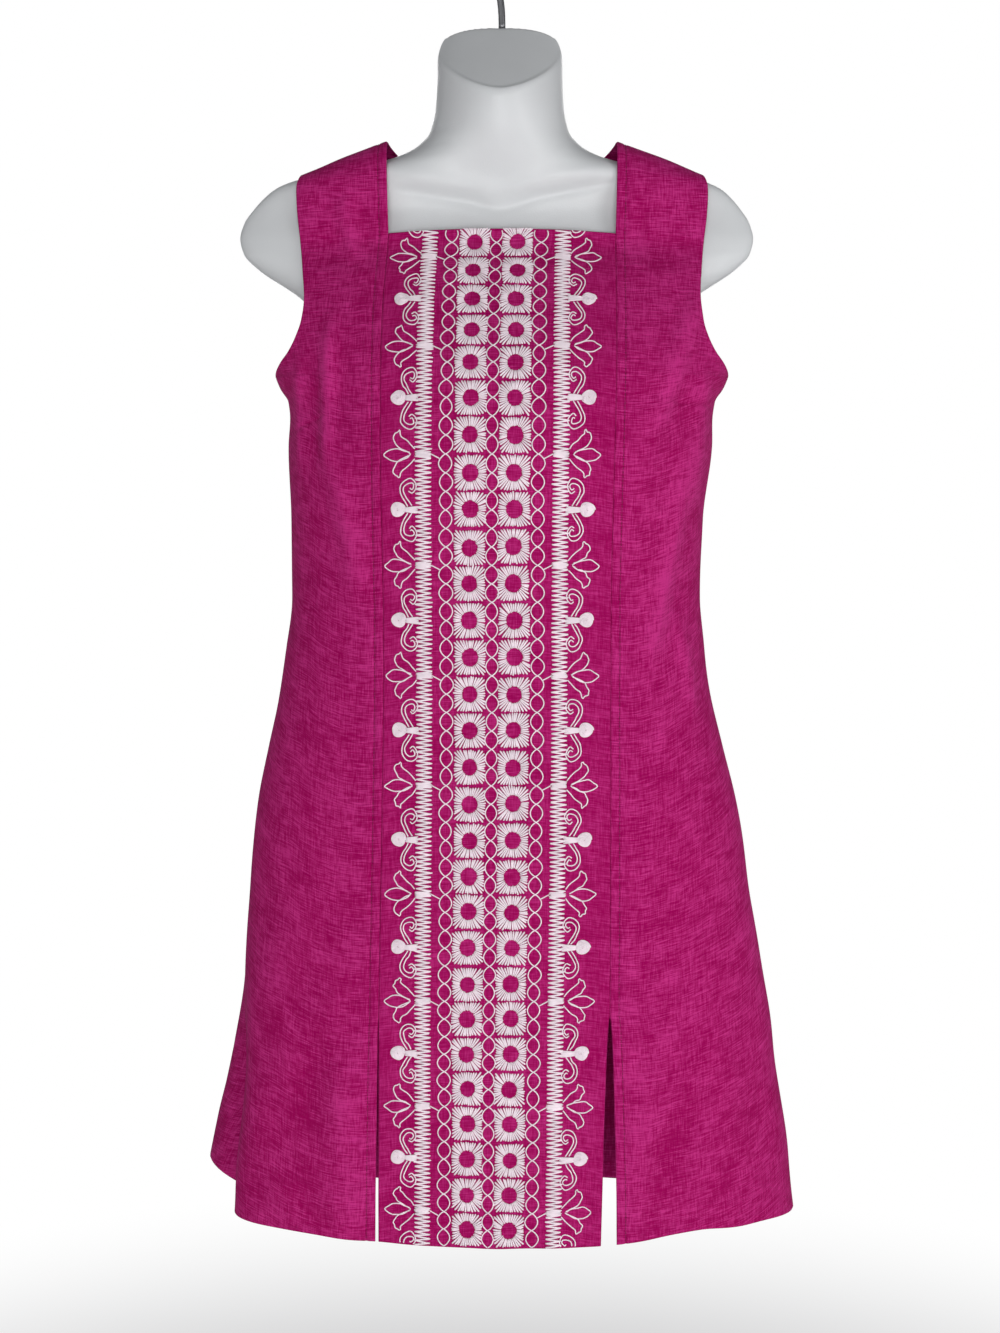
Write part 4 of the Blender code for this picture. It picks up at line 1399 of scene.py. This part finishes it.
def world():
    """An even soft light from all round, in front of which the background is plain white."""
    made = bpy.data.worlds.new("studio")
    made.use_nodes = True
    tree = made.node_tree
    lit = tree.nodes["Background"]
    lit.inputs["Color"].default_value = SKY
    lit.inputs["Strength"].default_value = WORLD_LIGHT
    seen = tree.nodes.new("ShaderNodeBackground")
    seen.inputs["Strength"].default_value = 1.0
    seen.inputs["Color"].default_value = WHITE
    rays = tree.nodes.new("ShaderNodeLightPath")
    both = tree.nodes.new("ShaderNodeMixShader")
    tree.links.new(rays.outputs["Is Camera Ray"], both.inputs["Fac"])
    tree.links.new(lit.outputs["Background"], both.inputs[1])
    tree.links.new(seen.outputs["Background"], both.inputs[2])
    tree.links.new(both.outputs["Shader"], tree.nodes["World Output"].inputs["Surface"])
    bpy.context.scene.world = made


def studio():
    floor()
    world()
    for name, place, size, watts in LIGHTS:
        area_light(name, place, size, watts)
    data = bpy.data.cameras.new("camera")
    data.sensor_fit = "AUTO"
    data.sensor_width = SENSOR
    data.lens = CAMERA_LENS
    data.clip_start = CLIP_START
    camera = bpy.data.objects.new("camera", data)
    camera.location = CAMERA_PLACE
    camera.rotation_euler = (math.radians(90.0 - CAMERA_PITCH), 0.0, 0.0)
    bpy.context.scene.collection.objects.link(camera)
    bpy.context.scene.camera = camera
    bpy.context.scene.view_settings.view_transform = "Standard"


def declare_cloth(piece, node):
    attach(piece, "root")
    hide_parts(node)


def dress():
    """The dress: its four pieces of cloth, the embroidery and the topstitching."""
    linen = slub_linen("slub_linen", 1.0)
    # The front panel's linen, painted deeper than the rest as painted shade
    panel_linen_painted_deeper = slub_linen("slub_linen_of_panel", PANEL_PALENESS)
    seam = seam_thread()
    neck_share = NECK_AT_SHOULDER / STRAP_END / 2.0
    whole = ((0.0, 1.0, True, True, SIDE_COLUMNS),)
    panel = ((0.0, 1.0, True, True, PANEL_COLUMNS),)
    back_zones = (
        (0.0, 0.5 - neck_share, True, False, STRAP_COLUMNS),
        (0.5 - neck_share, 0.5 + neck_share, False, False, BACK_COLUMNS),
        (0.5 + neck_share, 1.0, False, True, STRAP_COLUMNS),
    )
    made = shell("embroidered_front_panel", *cloth_grid(front_place, panel, 0, False, ()), panel_linen_painted_deeper)
    declare_cloth(made, "front_panel")
    for side, name in ((1.0, "side_front_left"), (-1.0, "side_front_right")):
        grid = cloth_grid(side_front_place(side), whole, STRAP_ROWS, False, (side,))
        outer, inner = grid[:2]
        made = shell(name + "_cloth", *grid, linen)
        declare_cloth(made, name)
        column = STITCH_COLUMN if side > 0.0 else outer.shape[1] - 1 - STITCH_COLUMN
        facing = unit(outer[:, column] - inner[:, column])
        stitches = topstitching(name + "_topstitching", outer[:, column], facing, seam)
        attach(stitches, "root")
    made = shell("back_panel_cloth", *cloth_grid(back_place, back_zones, STRAP_ROWS, True, ()), linen)
    declare_cloth(made, "back_panel")
    for piece in embroidery(embroidery_thread()):
        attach(piece, "root")


def main():
    studio()
    dress()
    form = torso_form(form_plastic())
    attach(form, "root")
    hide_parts("torso_form")
    hook = wire_hook(hook_wire())
    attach(hook, "root")
    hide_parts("hook")


main()
